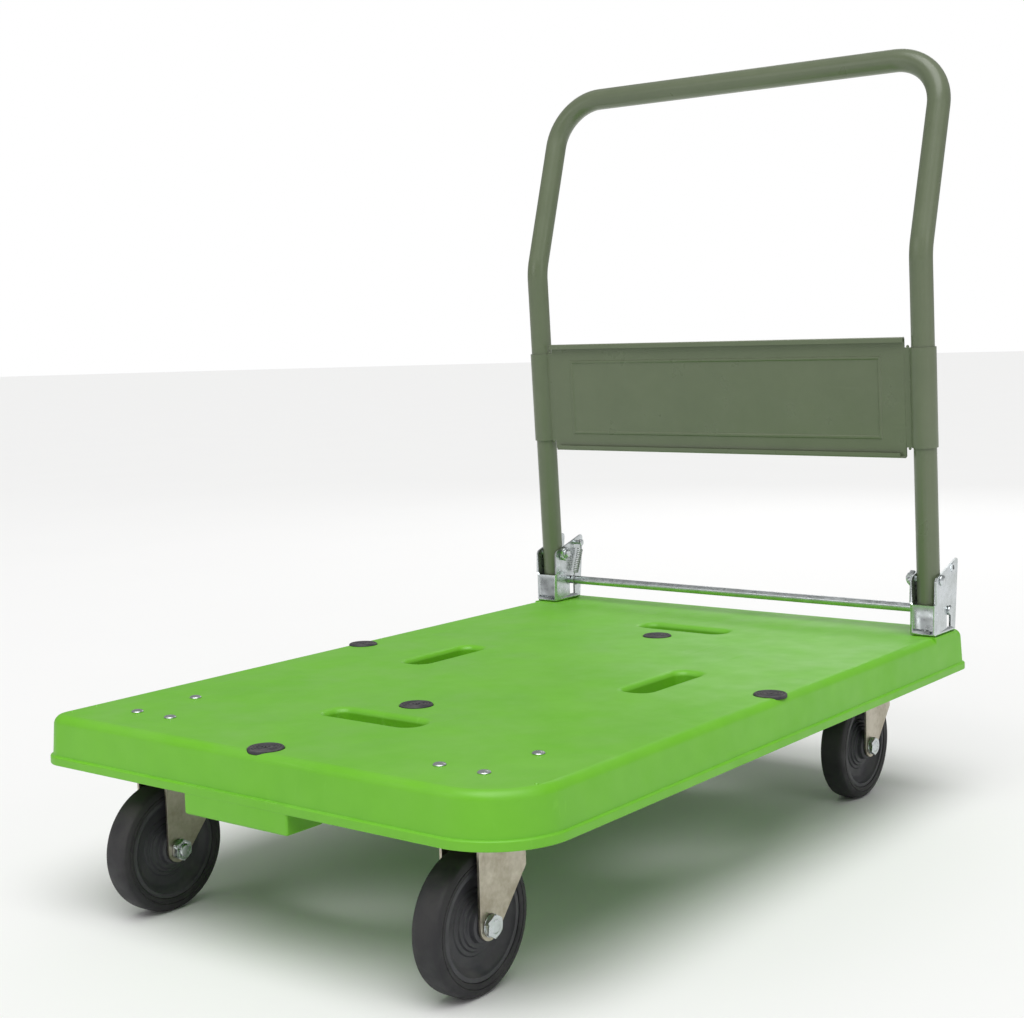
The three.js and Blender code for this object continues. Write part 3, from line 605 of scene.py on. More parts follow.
def grain_group() -> None:
    """Builds the fine skin that a mould, a spray gun or a plating bath leaves."""
    inputs = {"Vector": ("Vector", None), "Scale": ("Float", 800.0), "Pebble": ("Float", 0.5)}
    bench, given, result = group_shell(Shared.GRAIN, inputs, {"Height": "Float"})
    fine = bench.noise(given.outputs["Vector"], given.outputs["Scale"], 2.0)
    cells = bench.add("TexVoronoi", {"Vector": given.outputs["Vector"], "Scale": given.outputs["Scale"]})
    pebble = bench.math("MULTIPLY", cells.outputs["Distance"], given.outputs["Pebble"])
    bench.tree.links.new(
        bench.math("ADD", bench.math("MULTIPLY", fine, 0.6), pebble), result.inputs["Height"]
    )


def wear_group() -> None:
    """Builds the mask of rubbed edges, from how far the surface turns within a small radius."""
    inputs = {"Vector": ("Vector", None), "Radius": ("Float", 0.001), "Amount": ("Float", 0.5)}
    bench, given, result = group_shell(Shared.WEAR, inputs, {"Mask": "Float"})
    rounded = bench.add("Bevel", {"Radius": given.outputs["Radius"]}, samples=4)
    surface = bench.add("NewGeometry")
    dot = bench.add(
        "VectorMath", {0: rounded.outputs["Normal"], 1: surface.outputs["Normal"]}, operation="DOT_PRODUCT"
    )
    edge = bench.ramp(dot.outputs["Value"], 0.995, 0.86)
    broken = bench.ramp(bench.noise(given.outputs["Vector"], 140.0, 6.0), 0.42, 0.62)
    mask = bench.math("MULTIPLY", bench.math("MULTIPLY", edge, broken), given.outputs["Amount"])
    bench.tree.links.new(mask, result.inputs["Mask"])


def dust_group() -> None:
    """Builds the mask of dust that lies where a surface faces up, in drifts."""
    inputs = {"Vector": ("Vector", None), "Scale": ("Float", 20.0), "Amount": ("Float", 0.3)}
    bench, given, result = group_shell(Shared.DUST, inputs, {"Mask": "Float"})
    surface = bench.add("NewGeometry")
    upward = bench.ramp(bench.add("SeparateXYZ", {0: surface.outputs["Normal"]}).outputs["Z"], -0.3, 0.9)
    drift = bench.ramp(bench.noise(given.outputs["Vector"], given.outputs["Scale"], 6.0), 0.38, 0.68)
    mask = bench.math("MULTIPLY", bench.math("MULTIPLY", upward, drift), given.outputs["Amount"])
    bench.tree.links.new(mask, result.inputs["Mask"])


def scuffs_group() -> None:
    """Builds the mask of thin scratches that run two ways across a surface."""
    inputs = {"Vector": ("Vector", None), "Scale": ("Float", 30.0), "Amount": ("Float", 0.3)}
    bench, given, result = group_shell(Shared.SCUFFS, inputs, {"Mask": "Float"})
    lines = []
    for turn, stretch in ((0.5, (1.0, 34.0, 6.0)), (2.3, (30.0, 1.0, 5.0))):
        place = bench.add(
            "Mapping", {"Vector": given.outputs["Vector"], "Rotation": (0, 0, turn), "Scale": stretch}
        )
        lines.append(bench.ramp(bench.noise(place.outputs[0], given.outputs["Scale"], 2.0), 0.66, 0.74))
    patch = bench.ramp(bench.noise(given.outputs["Vector"], 7.0, 2.0), 0.42, 0.6)
    both = bench.math("MULTIPLY", bench.math("MAXIMUM", lines[0], lines[1]), patch)
    bench.tree.links.new(bench.math("MULTIPLY", both, given.outputs["Amount"]), result.inputs["Mask"])


@dataclass(frozen=True)
class Finish:
    """One surface finish: its colours, how it shines, its skin, and how it has aged."""

    slot: str
    colour: Colour
    shade: Colour
    rough: tuple[float, float]
    metal: float = 0.0
    specular: float = 0.5
    clouds: tuple[float, float] = (8.0, 0.5)
    grain: tuple[float, float, float] = (800.0, 0.5, 0.00005)
    worn: Colour = (0.5, 0.5, 0.5, 1)
    wear: tuple[float, float] = (0.001, 0.3)
    dust: tuple[float, float] = (20.0, 0.1)
    dust_colour: Colour = (0.42, 0.40, 0.36, 1)
    scuffs: tuple[float, float] = (9.0, 0.3)
    coat: float = 0.0

    def place(self, bench: Bench, kind: Shared, values: dict[str, object]) -> bpy.types.Node:
        """Places a shared group in a material with this finish's own values."""
        node = bench.add("Group", node_tree=bpy.data.node_groups[kind.value])
        for key, value in values.items():
            if isinstance(value, bpy.types.NodeSocket):
                bench.tree.links.new(value, node.inputs[key])
            else:
                node.inputs[key].default_value = value
        return node

    def material(self) -> bpy.types.Material:
        """Gives the finish's material, which is built the first time.

        Returns:
            The material, named after its slot.
        """
        known = bpy.data.materials.get("cart_" + self.slot)
        if known is not None:
            return known
        material = bpy.data.materials.new("cart_" + self.slot)
        material.use_nodes = True
        bench = Bench(material.node_tree)
        shader = material.node_tree.nodes["Principled BSDF"]
        where = bench.add("TexCoord").outputs["Object"]
        clouds = self.place(bench, Shared.CLOUDS, {
            "Vector": where, "Scale": self.clouds[0], "Contrast": self.clouds[1],
            "Colour": self.colour, "Shade": self.shade,
        })
        wear = self.place(
            bench, Shared.WEAR, {"Vector": where, "Radius": self.wear[0], "Amount": self.wear[1]}
        )
        dust = self.place(
            bench, Shared.DUST, {"Vector": where, "Scale": self.dust[0], "Amount": self.dust[1]}
        )
        scuffs = self.place(
            bench, Shared.SCUFFS, {"Vector": where, "Scale": self.scuffs[0], "Amount": self.scuffs[1]}
        )
        grain = self.place(
            bench, Shared.GRAIN, {"Vector": where, "Scale": self.grain[0], "Pebble": self.grain[1]}
        )
        tone = bench.mix(wear.outputs["Mask"], clouds.outputs["Colour"], self.worn)
        tone = bench.mix(bench.math("MULTIPLY", scuffs.outputs["Mask"], 0.35), tone, self.worn)
        tone = bench.mix(dust.outputs["Mask"], tone, self.dust_colour)
        uneven = bench.ramp(
            bench.noise(where, self.clouds[0] * 3.1, 5.0), 0.3, 0.7, self.rough[0], self.rough[1]
        )
        rough = bench.math("ADD", uneven, bench.math("MULTIPLY", scuffs.outputs["Mask"], 0.35))
        rough = bench.math("ADD", rough, bench.math("MULTIPLY", dust.outputs["Mask"], 0.5))
        skin = bench.add(
            "Bump", {"Height": grain.outputs["Height"], "Strength": 1.0, "Distance": self.grain[2]}
        )
        scored = bench.add("Bump", {
            "Height": scuffs.outputs["Mask"], "Strength": 0.6, "Distance": 0.00006, "Normal": skin.outputs[0],
        }, invert=True)
        for socket, value in (("Base Color", tone), ("Roughness", rough), ("Normal", scored.outputs[0])):
            bench.tree.links.new(value, shader.inputs[socket])
        shader.inputs["Metallic"].default_value = self.metal
        shader.inputs["Specular IOR Level"].default_value = self.specular
        shader.inputs["Coat Weight"].default_value = self.coat
        shader.inputs["Coat Roughness"].default_value = 0.2
        return material


GREEN_PLASTIC = Finish(
    "green_plastic", (0.158, 0.505, 0.018, 1), (0.135, 0.455, 0.014, 1), (0.34, 0.50), clouds=(7.0, 0.8),
    grain=(700.0, 0.6, 0.00006), worn=(0.29, 0.68, 0.10, 1), wear=(0.0012, 0.45), dust=(16.0, 0.06),
    scuffs=(9.0, 0.5),
)
PAD_RUBBER = Finish(
    "pad_rubber", (0.040, 0.036, 0.046, 1), (0.026, 0.025, 0.032, 1), (0.55, 0.75), clouds=(60.0, 0.8),
    grain=(1500.0, 0.6, 0.00008), worn=(0.12, 0.11, 0.12, 1), wear=(0.0005, 0.5), dust=(90.0, 0.18),
)
OLIVE_PAINT = Finish(
    "olive_paint", (0.140, 0.170, 0.100, 1), (0.122, 0.150, 0.088, 1), (0.26, 0.38), clouds=(11.0, 0.7),
    grain=(320.0, 0.4, 0.00009), worn=(0.25, 0.27, 0.20, 1), wear=(0.0007, 0.4), dust=(30.0, 0.05),
    scuffs=(14.0, 0.25), coat=0.15,
)
BLACK_PLUG = Finish(
    "black_plug", (0.020, 0.020, 0.021, 1), (0.014, 0.014, 0.015, 1), (0.45, 0.6),
    grain=(1200.0, 0.5, 0.00006), worn=(0.08, 0.08, 0.08, 1), wear=(0.0005, 0.4),
)
BRIGHT_ZINC = Finish(
    "bright_zinc", (0.66, 0.70, 0.72, 1), (0.50, 0.54, 0.53, 1), (0.20, 0.38), metal=1.0, clouds=(45.0, 0.9),
    grain=(2200.0, 0.4, 0.00002), worn=(0.80, 0.81, 0.80, 1), wear=(0.0005, 0.6), dust=(60.0, 0.10),
    scuffs=(40.0, 0.5),
)
SPRING_STEEL = Finish(
    "spring_steel", (0.52, 0.53, 0.54, 1), (0.38, 0.38, 0.38, 1), (0.24, 0.40), metal=1.0, clouds=(80.0, 0.9),
    grain=(2600.0, 0.3, 0.00002), worn=(0.72, 0.72, 0.71, 1), wear=(0.0004, 0.5), dust=(80.0, 0.06),
)
CASTER_ZINC = Finish(
    "caster_zinc", (0.56, 0.52, 0.43, 1), (0.38, 0.34, 0.26, 1), (0.32, 0.52), metal=1.0, clouds=(38.0, 0.95),
    grain=(1500.0, 0.5, 0.00004), worn=(0.74, 0.72, 0.66, 1), wear=(0.0007, 0.7), dust=(50.0, 0.14),
    scuffs=(30.0, 0.5),
)
TYRE_RUBBER = Finish(
    "tyre_rubber", (0.013, 0.013, 0.016, 1), (0.021, 0.020, 0.022, 1), (0.50, 0.72), clouds=(22.0, 0.8),
    grain=(1100.0, 0.6, 0.00007), worn=(0.07, 0.068, 0.066, 1), wear=(0.0012, 0.5), dust=(34.0, 0.10),
    scuffs=(18.0, 0.5),
)
CORE_NYLON = Finish(
    "core_nylon", (0.050, 0.051, 0.058, 1), (0.036, 0.037, 0.042, 1), (0.42, 0.62), clouds=(26.0, 0.8),
    grain=(900.0, 0.6, 0.00007), worn=(0.14, 0.14, 0.15, 1), wear=(0.0008, 0.5), dust=(40.0, 0.12),
)


@dataclass(frozen=True)
class Stretch:
    """Where a spring would stretch from the body that it hangs on to another one, in millimetres."""

    body: str
    start: Point
    end: Point


def hand_over(
    piece: bpy.types.Object, finish: Finish, body: str, *nodes: str, stretch: Stretch | None = None
) -> bpy.types.Object:
    """Brings a finished piece to metres, dresses it and sets it to ride on its body, unless it is given a stretch:
    then it is left in place unattached.

    Args:
        piece: the piece, in millimetres.
        finish: what it is dressed in.
        body: the frame's body that carries it.
        *nodes: the frame's nodes that it stands for.
        stretch: for a spring; what it holds is not used: where one is given, the piece rides on no body and its
            far end follows none.

    Returns:
        The piece.
    """
    piece.scale = (MM, MM, MM)
    apply_place(piece)
    piece.data.materials.clear()
    piece.data.materials.append(finish.material())
    if stretch is None:
        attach(piece, body)
    else:
        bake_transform(piece)
    if nodes:
        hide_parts(*nodes)
    log.info("%s: %d faces, rides on %s", piece.name, len(piece.data.polygons), body)
    return piece


# ---------------------------------------------------------------- studio


@dataclass
class Studio:
    """The camera, the floor and the lights."""

    eye: Point = (1.0843, -1.4644, 0.5619)
    turn: Point = (84.214, 1.433, 37.496)
    lens: float = 58.54
    sensor: float = 36.0
    floor_radius: float = 40.0
    floor_tone: Colour = (0.9, 0.9, 0.895, 1)
    sky_tone: Colour = (1.0, 1.0, 1.0, 1)
    sky_fill: float = 0.32
    sun_turn: Point = (18.0, 14.0, 0.0)
    sun_power: float = 2.35
    sun_angle: float = 55.0
    lights: Sequence[tuple[str, Point, Point, float, float]] = (
        ("front_softbox", (-1.6, -3.2, 1.9), (0.0, 0.0, 0.4), 1.6, 10.0),
        ("side_softbox", (3.4, -0.6, 1.6), (0.0, 0.1, 0.4), 1.4, 8.0),
        ("rear_softbox", (-1.2, 3.4, 2.0), (0.0, 0.0, 0.4), 1.6, 10.0),
    )

    def camera(self) -> None:
        """Sets up the camera."""
        bpy.ops.object.camera_add(location=self.eye, rotation=tuple(math.radians(a) for a in self.turn))
        camera = bpy.context.object
        camera.name = "studio_camera"
        camera.data.sensor_width = self.sensor
        camera.data.lens = self.lens
        camera.data.dof.use_dof = False
        bpy.context.scene.camera = camera

    def floor(self) -> None:
        """Lays a round, pale, matte floor."""
        bpy.ops.mesh.primitive_circle_add(vertices=96, radius=self.floor_radius, fill_type="NGON")
        floor = bpy.context.object
        floor.name = "studio_floor"
        material = bpy.data.materials.new("studio_floor")
        material.use_nodes = True
        bench = Bench(material.node_tree)
        shader = material.node_tree.nodes["Principled BSDF"]
        where = bench.add("TexCoord").outputs["Object"]
        darker = tuple(0.985 * c for c in self.floor_tone[:3]) + (1.0,)
        tone = bench.mix(bench.noise(where, 3.0), self.floor_tone, darker)
        bench.tree.links.new(tone, shader.inputs["Base Color"])
        shader.inputs["Roughness"].default_value = 0.9
        shader.inputs["Specular IOR Level"].default_value = 0.1
        floor.data.materials.append(material)

    def sky(self) -> None:
        """Sets the room's white walls, which light the cart less than they show."""
        world = bpy.data.worlds.new("studio_room")
        world.use_nodes = True
        bpy.context.scene.world = world
        bench = Bench(world.node_tree)
        shown = bench.add("Background", {"Color": self.sky_tone, "Strength": 1.0})
        cast = bench.add("Background", {"Color": self.sky_tone, "Strength": self.sky_fill})
        ray = bench.add("LightPath")
        both = bench.add(
            "MixShader", {0: ray.outputs["Is Camera Ray"], 1: cast.outputs[0], 2: shown.outputs[0]}
        )
        bench.tree.links.new(both.outputs[0], world.node_tree.nodes["World Output"].inputs["Surface"])

    def lamps(self) -> None:
        """Hangs one very wide light far overhead and three weak softboxes round the cart."""
        turn = tuple(math.radians(a) for a in self.sun_turn)
        bpy.ops.object.light_add(type="SUN", location=(0, 0, 4), rotation=turn)
        sun = bpy.context.object
        sun.name = "overhead_light"
        sun.data.energy = self.sun_power
        sun.data.angle = math.radians(self.sun_angle)
        for name, place, aim, size, power in self.lights:
            toward = Vector(aim) - Vector(place)
            facing = toward.to_track_quat("-Z", "Y").to_euler()
            bpy.ops.object.light_add(type="AREA", location=place, rotation=facing)
            lamp = bpy.context.object
            lamp.name = name
            lamp.data.shape = "SQUARE"
            lamp.data.size = size
            lamp.data.energy = power

    def set_up(self) -> None:
        """Sets up the whole studio."""
        bpy.context.scene.view_settings.view_transform = "Standard"
        self.camera()
        self.floor()
        self.sky()
        self.lamps()


# ---------------------------------------------------------------- deck


@dataclass
class Deck:
    """The moulded deck with its lip, ribs, hand slots, nose block and bracket seats."""

    half_width: float = 300.0
    half_length: float = 457.5
    bottom: float = 151.0
    top: float = 200.0
    seat_height: float = 158.0
    front_radius: float = 78.0
    left_radius: float = 26.0
    rear_radius: float = 16.0
    wall: float = 5.0
    lip_proud: float = 3.0
    edge_radius: float = 10.0
    rib: float = 3.5
    columns: int = 7
    rows: int = 11
    slot_half: tuple[float, float] = (60.0, 17.0)
    slot_radius: float = 14.0
    rim: float = 6.0
    sleeve: float = 4.0
    slot_spots: Sequence[tuple[float, float, bool]] = (
        (0, -286, True), (0, 286, True), (-150, 0, False), (150, 0, False),
    )
    nose_x: tuple[float, float] = (-86.0, 48.0)
    nose_length: float = 47.0
    nose_bottom: float = 131.5
    nose_wall: float = 4.0
    seat_x: tuple[float, float] = (259.9, 295.0)
    seat_y: tuple[float, float] = (371.0, 434.0)
    dents: Sequence[tuple[float, float]] = ((281, -430), (281, -399))
    pad_spots: dict[str, tuple[float, float]] = field(default_factory=lambda: {
        "front": (0, -432.5), "middle_front": (0, -224), "middle_rear": (0, 224), "left": (-278, 0),
        "right": (278, 0),
    })
    pad_radius: float = 17.0
    pad_recess: float = 2.7
    pad_proud: float = 1.5

    def outer(self) -> bpy.types.Object:
        """Makes the solid outside: lip bead, drafted wall, rounded top edge."""
        low = (-self.half_width, -self.half_length, self.bottom + 1.6)
        high = (self.half_width, self.half_length, self.bottom + 7.0)
        body = slab("deck_shell", low, high, self.front_radius, self.rear_radius, 16, self.left_radius)
        bead = quarter_round(2.2, 4) + [(0.5, 0.1), (0.3, 0.7)]
        climbed = sum(up for _, up in bead)
        wall_top = self.top - self.edge_radius
        with editing(body):
            pick(body, Pick.FACES, lambda c, n: n.z > 0.9)
            step_in(bead)
            step_in([(2.0, wall_top - high[2] - climbed)])
            step_in(quarter_round(self.edge_radius, 7) + [(0.6, 0.0)])
            pick(body, Pick.FACES, lambda c, n: n.z < -0.9)
            step_in(quarter_round(1.6, 3))
        return body

    def outline(self, name: str, inset: float, low: float, high: float) -> bpy.types.Object:
        """Makes a plain slab of the deck's outline, set in from the lip."""
        x, y = self.half_width - inset, self.half_length - inset
        front, rear, left = (
            radius - inset for radius in (self.front_radius, self.rear_radius, self.left_radius)
        )
        return slab(name, (-x, -y, low), (x, y, high), front, rear, 12, left)

    def slot_slab(
        self, spot: tuple[float, float, bool], growth: float, low: float, high: float
    ) -> bpy.types.Object:
        """Makes a slab of one hand slot's outline, grown outward."""
        long, short = self.slot_half[0] + growth, self.slot_half[1] + growth
        dx, dy = (long, short) if spot[2] else (short, long)
        radius = self.slot_radius + growth
        x, y = spot[0], spot[1]
        return slab("slot_tool", (x - dx, y - dy, low), (x + dx, y + dy, high), radius, radius, 8)

    def pockets(self) -> bpy.types.Object:
        """Makes the grid of hollows between the ribs, clear of the sleeves round the slots."""
        inset = self.lip_proud + self.wall
        width, length = 2 * (self.half_width - inset), 2 * (self.half_length - inset)
        pitch_x, pitch_y = width / self.columns, length / self.rows
        x, y = -width / 2 + self.rib / 2, -length / 2 + self.rib / 2
        low, high = self.seat_height - 2, self.top - self.wall
        grid = slab("pockets", (x, y, low), (x + pitch_x - self.rib, y + pitch_y - self.rib, high), 3, 3, 3)
        modify(grid, "ARRAY", count=self.columns, use_relative_offset=False, use_constant_offset=True,
               constant_offset_displace=(pitch_x, 0, 0))
        modify(grid, "ARRAY", count=self.rows, use_relative_offset=False, use_constant_offset=True,
               constant_offset_displace=(0, pitch_y, 0))
        combine(grid, self.outline("inside", inset + 1, self.bottom, high + 1), Join.SHARE)
        for spot in self.slot_spots:
            combine(grid, self.slot_slab(spot, self.sleeve, self.bottom, self.top), Join.CUT)
        return grid

    def slot_tool(self, spot: tuple[float, float, bool]) -> bpy.types.Object:
        """Makes the tool for one hand slot: its rim flares out to the top."""
        tool = self.slot_slab(spot, self.rim, self.top, self.top + 3)
        with editing(tool):
            pick(tool, Pick.FACES, lambda c, n: n.z < -0.9)
            step_in([(0.02, 0.0)] + quarter_round(self.rim - 0.02, 5, outward=False) + [(0.0, 45.0)])
        return tool

    def nose(self) -> bpy.types.Object:
        """Makes the hollow block under the front lip."""
        front = -self.half_length + 0.4
        low = (self.nose_x[0], front, self.nose_bottom)
        high = (self.nose_x[1], front + self.nose_length, self.seat_height + 2)
        body = block("nose", low, high)
        with editing(body):
            pick(body, Pick.EDGES, lambda c, d: abs(d.z) > 0.9 or c.z < self.nose_bottom + 1)
            bevel(2.5, 3)
        wall = self.nose_wall
        inner_low = (low[0] + wall, front + self.lip_proud + self.wall, low[2] + wall)
        combine(body, block("core", inner_low, (high[0] - wall, high[1] - wall, high[2] + 9)), Join.CUT)
        return body

    def seat(self, side: int) -> bpy.types.Object:
        """Makes the square seat under one handle bracket, its outer corners eased."""
        x0, x1 = sorted((side * self.seat_x[0], side * self.seat_x[1]))
        seat = block("seat", (x0, self.seat_y[0], self.top - 12), (x1, self.seat_y[1], self.top))
        with editing(seat):
            pick(
                seat, Pick.EDGES,
                lambda c, d: abs(c.x) > self.seat_x[1] - 0.1 and (c.z > self.top - 0.1 or abs(d.z) > 0.9)
            )
            bevel(1.6, 3)
        return seat

    def shell(self) -> bpy.types.Object:
        """Makes the whole deck."""
        body = self.outer()
        inset = self.lip_proud + self.wall
        combine(body, self.outline("cavity", inset, self.bottom - 9, self.seat_height), Join.CUT)
        combine(body, self.pockets(), Join.CUT)
        combine(body, self.nose(), Join.WELD)
        for side in (-1, 1):
            combine(body, self.seat(side), Join.WELD)
        for spot in self.slot_spots:
            combine(body, self.slot_tool(spot), Join.CUT)
        low = self.top - self.pad_recess
        hole = self.pad_radius + 0.35
        cup = [
            (0, low), (hole, low), (hole, self.top - 0.8), (hole + 0.8, self.top),
            (hole + 0.8, self.top + 2), (0, self.top + 2)
        ]
        for x, y in self.pad_spots.values():
            combine(body, turned("pad_tool", cup, 40, at=(x, y, 0)), Join.CUT)
        dent = [
            (0, self.top - 1.2), (1.6, self.top - 1.0), (2.4, self.top + 0.01), (2.4, self.top + 1),
            (0, self.top + 1)
        ]
        for x, y in self.dents:
            for side in (-1, 1):
                combine(body, turned("dent_tool", dent, 16, at=(side * x, y, 0)), Join.CUT)
        polish(body)
        return body

    def pad(self) -> bpy.types.Object:
        """Makes one anti-slip pad about the deck's middle: a raised rim, ribbed rings and a cross of bars."""
        bottom, top = self.top - self.pad_recess + 0.3, self.top + self.pad_proud
        radius = self.pad_radius
        profile = [
            (0, bottom), (radius - 0.4, bottom), (radius, bottom + 0.4), (radius, top - 1.0),
            (radius - 1.0, top)
        ]
        for crest in (13.6, 10.8, 8.0):
            profile += [
                (crest + 1.0, top), (crest + 0.6, top - 0.7), (crest - 0.2, top - 0.7), (crest - 0.6, top)
            ]
        profile += [(4.4, top), (3.8, top - 0.7), (0, top - 0.7)]
        pad = turned("pad", profile, 56)
        bar = block("bar", (-6.6, -1.0, top - 1.2), (6.6, 1.0, top + 0.15))
        polish(bar, 0.3, 2)
        crossbar = copied(bar, "crossbar")
        crossbar.rotation_euler = (0, 0, math.pi / 2)
        apply_place(crossbar)
        polish(pad, 0.15, 2)
        absorb(pad, bar, crossbar)
        return pad

    def build(self) -> None:
        """Makes the deck and its pads and hands them over."""
        hand_over(self.shell(), GREEN_PLASTIC, "chassis", "deck")
        master = self.pad()
        for place, (x, y) in self.pad_spots.items():
            pad = copied(master, f"pad_{place}", (x, y, 0))
            hand_over(pad, PAD_RUBBER, "chassis", f"anti_slip_pad_{place}")
        bpy.data.meshes.remove(master.data)


# ---------------------------------------------------------------- casters


@dataclass
class Casters:
    """The two fixed casters in front and the two swivelling ones at the handle end."""

    middle_x: float = 198.0
    front_axle: float = -388.0
    rear_axle: float = 354.0
    trail: float = 32.0
    wheel: float = 65.0
    tyre_half: float = 15.0
    tyre_inner: float = 51.0
    core_rim: float = 50.7
    hub_half: float = 18.0
    bush: tuple[float, float] = (6.3, 8.8)
    bush_half: float = 19.9
    leg_inner: float = 19.2
    sheet: float = 2.8
    foot_radius: float = 13.5
    head_reach: float = 52.0
    shoulder_height: float = 104.8
    crown_fold: float = 3.6
    heel_point: tuple[float, float] = (0.82, 0.58)
    toe_round: float = 0.985
    heel_round: float = 0.45
    fixed_top: float = 153.4
    swivel_top: float = 138.8
    bolt_across: float = 19.0
    bolt_head: float = 5.5
    nut_length: float = 7.0
    axle: float = 6.0
    plate_half: tuple[float, float] = (33.0, 48.0)
    plate_z: tuple[float, float] = (153.7, 157.7)
    bolt_grid: tuple[float, float] = (24.5, 38.5)
    cup_z: tuple[float, float] = (146.9, 153.4)
    cup_radius: float = 27.0
    race_z: tuple[float, float] = (139.1, 146.6)
    race_radius: float = 24.0
    deck_top: float = 200.0

    def tyre(self) -> bpy.types.Object:
        """Makes the tyre about its own axle: crowned tread, round shoulders, a moulding line on each side."""
        inner, half, outer = self.tyre_inner, self.tyre_half, self.wheel
        side = [
            (inner, half - 1.4), (inner + 0.6, half - 0.6), (inner + 1.6, half - 0.1), (inner + 4.2, half),
            (inner + 4.6, half - 0.7), (inner + 5.4, half - 0.7), (inner + 5.8, half),
            (inner + 8.0, half - 0.1),
            (inner + 10.6, half - 1.0), (inner + 12.3, half - 2.6), (inner + 13.3, half - 4.8),
            (outer - 0.15, half - 8.0),
            (outer, half - 12.0),
        ]
        tyre = turned("tyre", both_sides(side), WHEEL_STEPS, Axis.X)
        polish(tyre, 0.0, sharp=38.0)
        return tyre

    def core(self) -> bpy.types.Object:
        """Makes the wheel core: a dished web with moulded rings between the hub and the rim."""
        bore, rim, hub = self.bush[1] + FIT_GAP, self.core_rim, self.hub_half
        side = [
            (bore, hub), (14.6, hub), (16.6, 16.6), (17.2, 11.4), (18.6, 10.6), (21.4, 10.4), (22.4, 8.4),
            (25.0, 8.2),
            (26.0, 6.2), (29.4, 6.0), (30.4, 4.6), (37.0, 4.6), (41.0, 5.8), (44.4, 8.6), (46.0, 11.6),
            (46.6, 13.5), (rim, 13.5),
        ]
        core = turned("core", both_sides(side), WHEEL_STEPS, Axis.X)
        polish(core, 0.4, 2, sharp=26.0)
        return core

    def axle_bush(self) -> bpy.types.Object:
        """Makes the tube that the hub turns on."""
        tube = turned("bush", ring(*self.bush, -self.bush_half, self.bush_half), 32, Axis.X)
        polish(tube)
        return tube

    def axle_bolt(self) -> bpy.types.Object:
        """Makes the axle bolt, with its head towards +X and a chamfered tip."""
        start = self.leg_inner + self.sheet + FIT_GAP
        head = hexagon("axle_bolt", self.bolt_across, start + 1.1, start + self.bolt_head, Axis.X, (0, 0, 0))
        tip = -(start + self.nut_length + 2)
        shank = [
            (0, tip), (self.axle - 1.2, tip), (self.axle, tip + 1.2), (self.axle, start),
            (10.2, start), (10.4, start + 0.6), (10.2, start + 1.2), (0, start + 1.2),
        ]
        polish(head, 0.35)
        body = turned("shank", shank, 32, Axis.X)
        polish(body, 0.2)
        face = [
            (0, start + 5.4), (5.4, start + 5.4), (5.8, start + 5.8), (6.6, start + 5.6),
            (6.8, start + 5.2), (0, start + 5.2)
        ]
        boss = turned("boss", face, 32, Axis.X)
        polish(boss)
        absorb(head, body, boss)
        return head

    def axle_nut(self) -> bpy.types.Object:
        """Makes the nut at the inner end of the axle bolt."""
        start = self.leg_inner + self.sheet + FIT_GAP
        nut = hexagon("axle_nut", self.bolt_across, -start - self.nut_length, -start, Axis.X, (0, 0, 0))
        bore = self.axle + FIT_GAP
        tool = [(0, -start - 9), (bore, -start - 9), (bore, -start + 1), (0, -start + 1)]
        combine(nut, turned("bore", tool, 32, Axis.X), Join.CUT)
        polish(nut, 0.35)
        return nut

    def fork(self, top: float) -> bpy.types.Object:
        """Folds one fork from sheet, about the axle on the floor: a crown and two raked legs.

        Args:
            top: the height of the crown's upper face.

        Returns:
            The fork.
        """
        middle = self.leg_inner + self.sheet / 2
        level = top - self.sheet / 2
        foot, reach = self.foot_radius, self.head_reach
        bottom = self.wheel - foot
        fork = sheet_plane("fork", (-middle, -foot, level), (middle, reach, level))
        behind, below = (foot * ratio for ratio in self.heel_point)
        slope = (reach - behind) / (self.shoulder_height - self.wheel + below)
        heel = behind - slope * (self.wheel - below - bottom)
        with editing(fork):
            pick(fork, Pick.EDGES, lambda c, d: abs(c.x) > middle - 1)
            extrude((0, 0, self.shoulder_height - level))
            extrude((0, 0, bottom - self.shoulder_height))
            pick(fork, Pick.VERTS, lambda c, n: c.z < bottom + 1 and c.y > reach - 1)
            move((0, heel - reach, 0))
            pick(fork, Pick.VERTS, lambda c, n: c.z < bottom + 1 and c.y < 0)
            bevel(foot * self.toe_round, 8, corners=True)
            pick(fork, Pick.VERTS, lambda c, n: abs(c.z - bottom) < 0.01 and abs(c.y - heel) < 0.01)
            bevel(foot * self.heel_round, 8, corners=True)
            pick(fork, Pick.EDGES, lambda c, d: abs(c.x) > middle - 1 and c.z > level - 0.1)
            bevel(self.crown_fold, 4)
            bpy.ops.mesh.select_all(action="SELECT")
            bpy.ops.mesh.normals_make_consistent(inside=False)
        modify(fork, "SOLIDIFY", thickness=self.sheet, offset=0, use_even_offset=True)
        polish(fork, 0.5, 2)
        return fork

    def top_plate(self) -> bpy.types.Object:
        """Makes the top plate about the plate's own middle, its edges rolled off by the press."""
        x, y = self.plate_half
        plate = slab("plate", (-x, -y, self.plate_z[0]), (x, y, self.plate_z[1]), 7, 7, 6)
        polish(plate, 0.8, 3)
        return plate

    def dome_bolt(self) -> bpy.types.Object:
        """Makes a plate bolt whose domed head stands on the deck."""
        base = self.deck_top + 0.05
        low = self.plate_z[0] + 0.3
        profile = [
            (0, low), (3.6, low), (4.0, low + 0.4), (4.0, base), (5.8, base), (6.1, base + 0.5),
            (5.7, base + 1.2), (4.6, base + 1.9), (2.6, base + 2.4), (1.0, base + 2.5), (0, base + 2.5),
        ]
        bolt = turned("dome_bolt", profile, 28)
        polish(bolt, sharp=50.0)
        return bolt

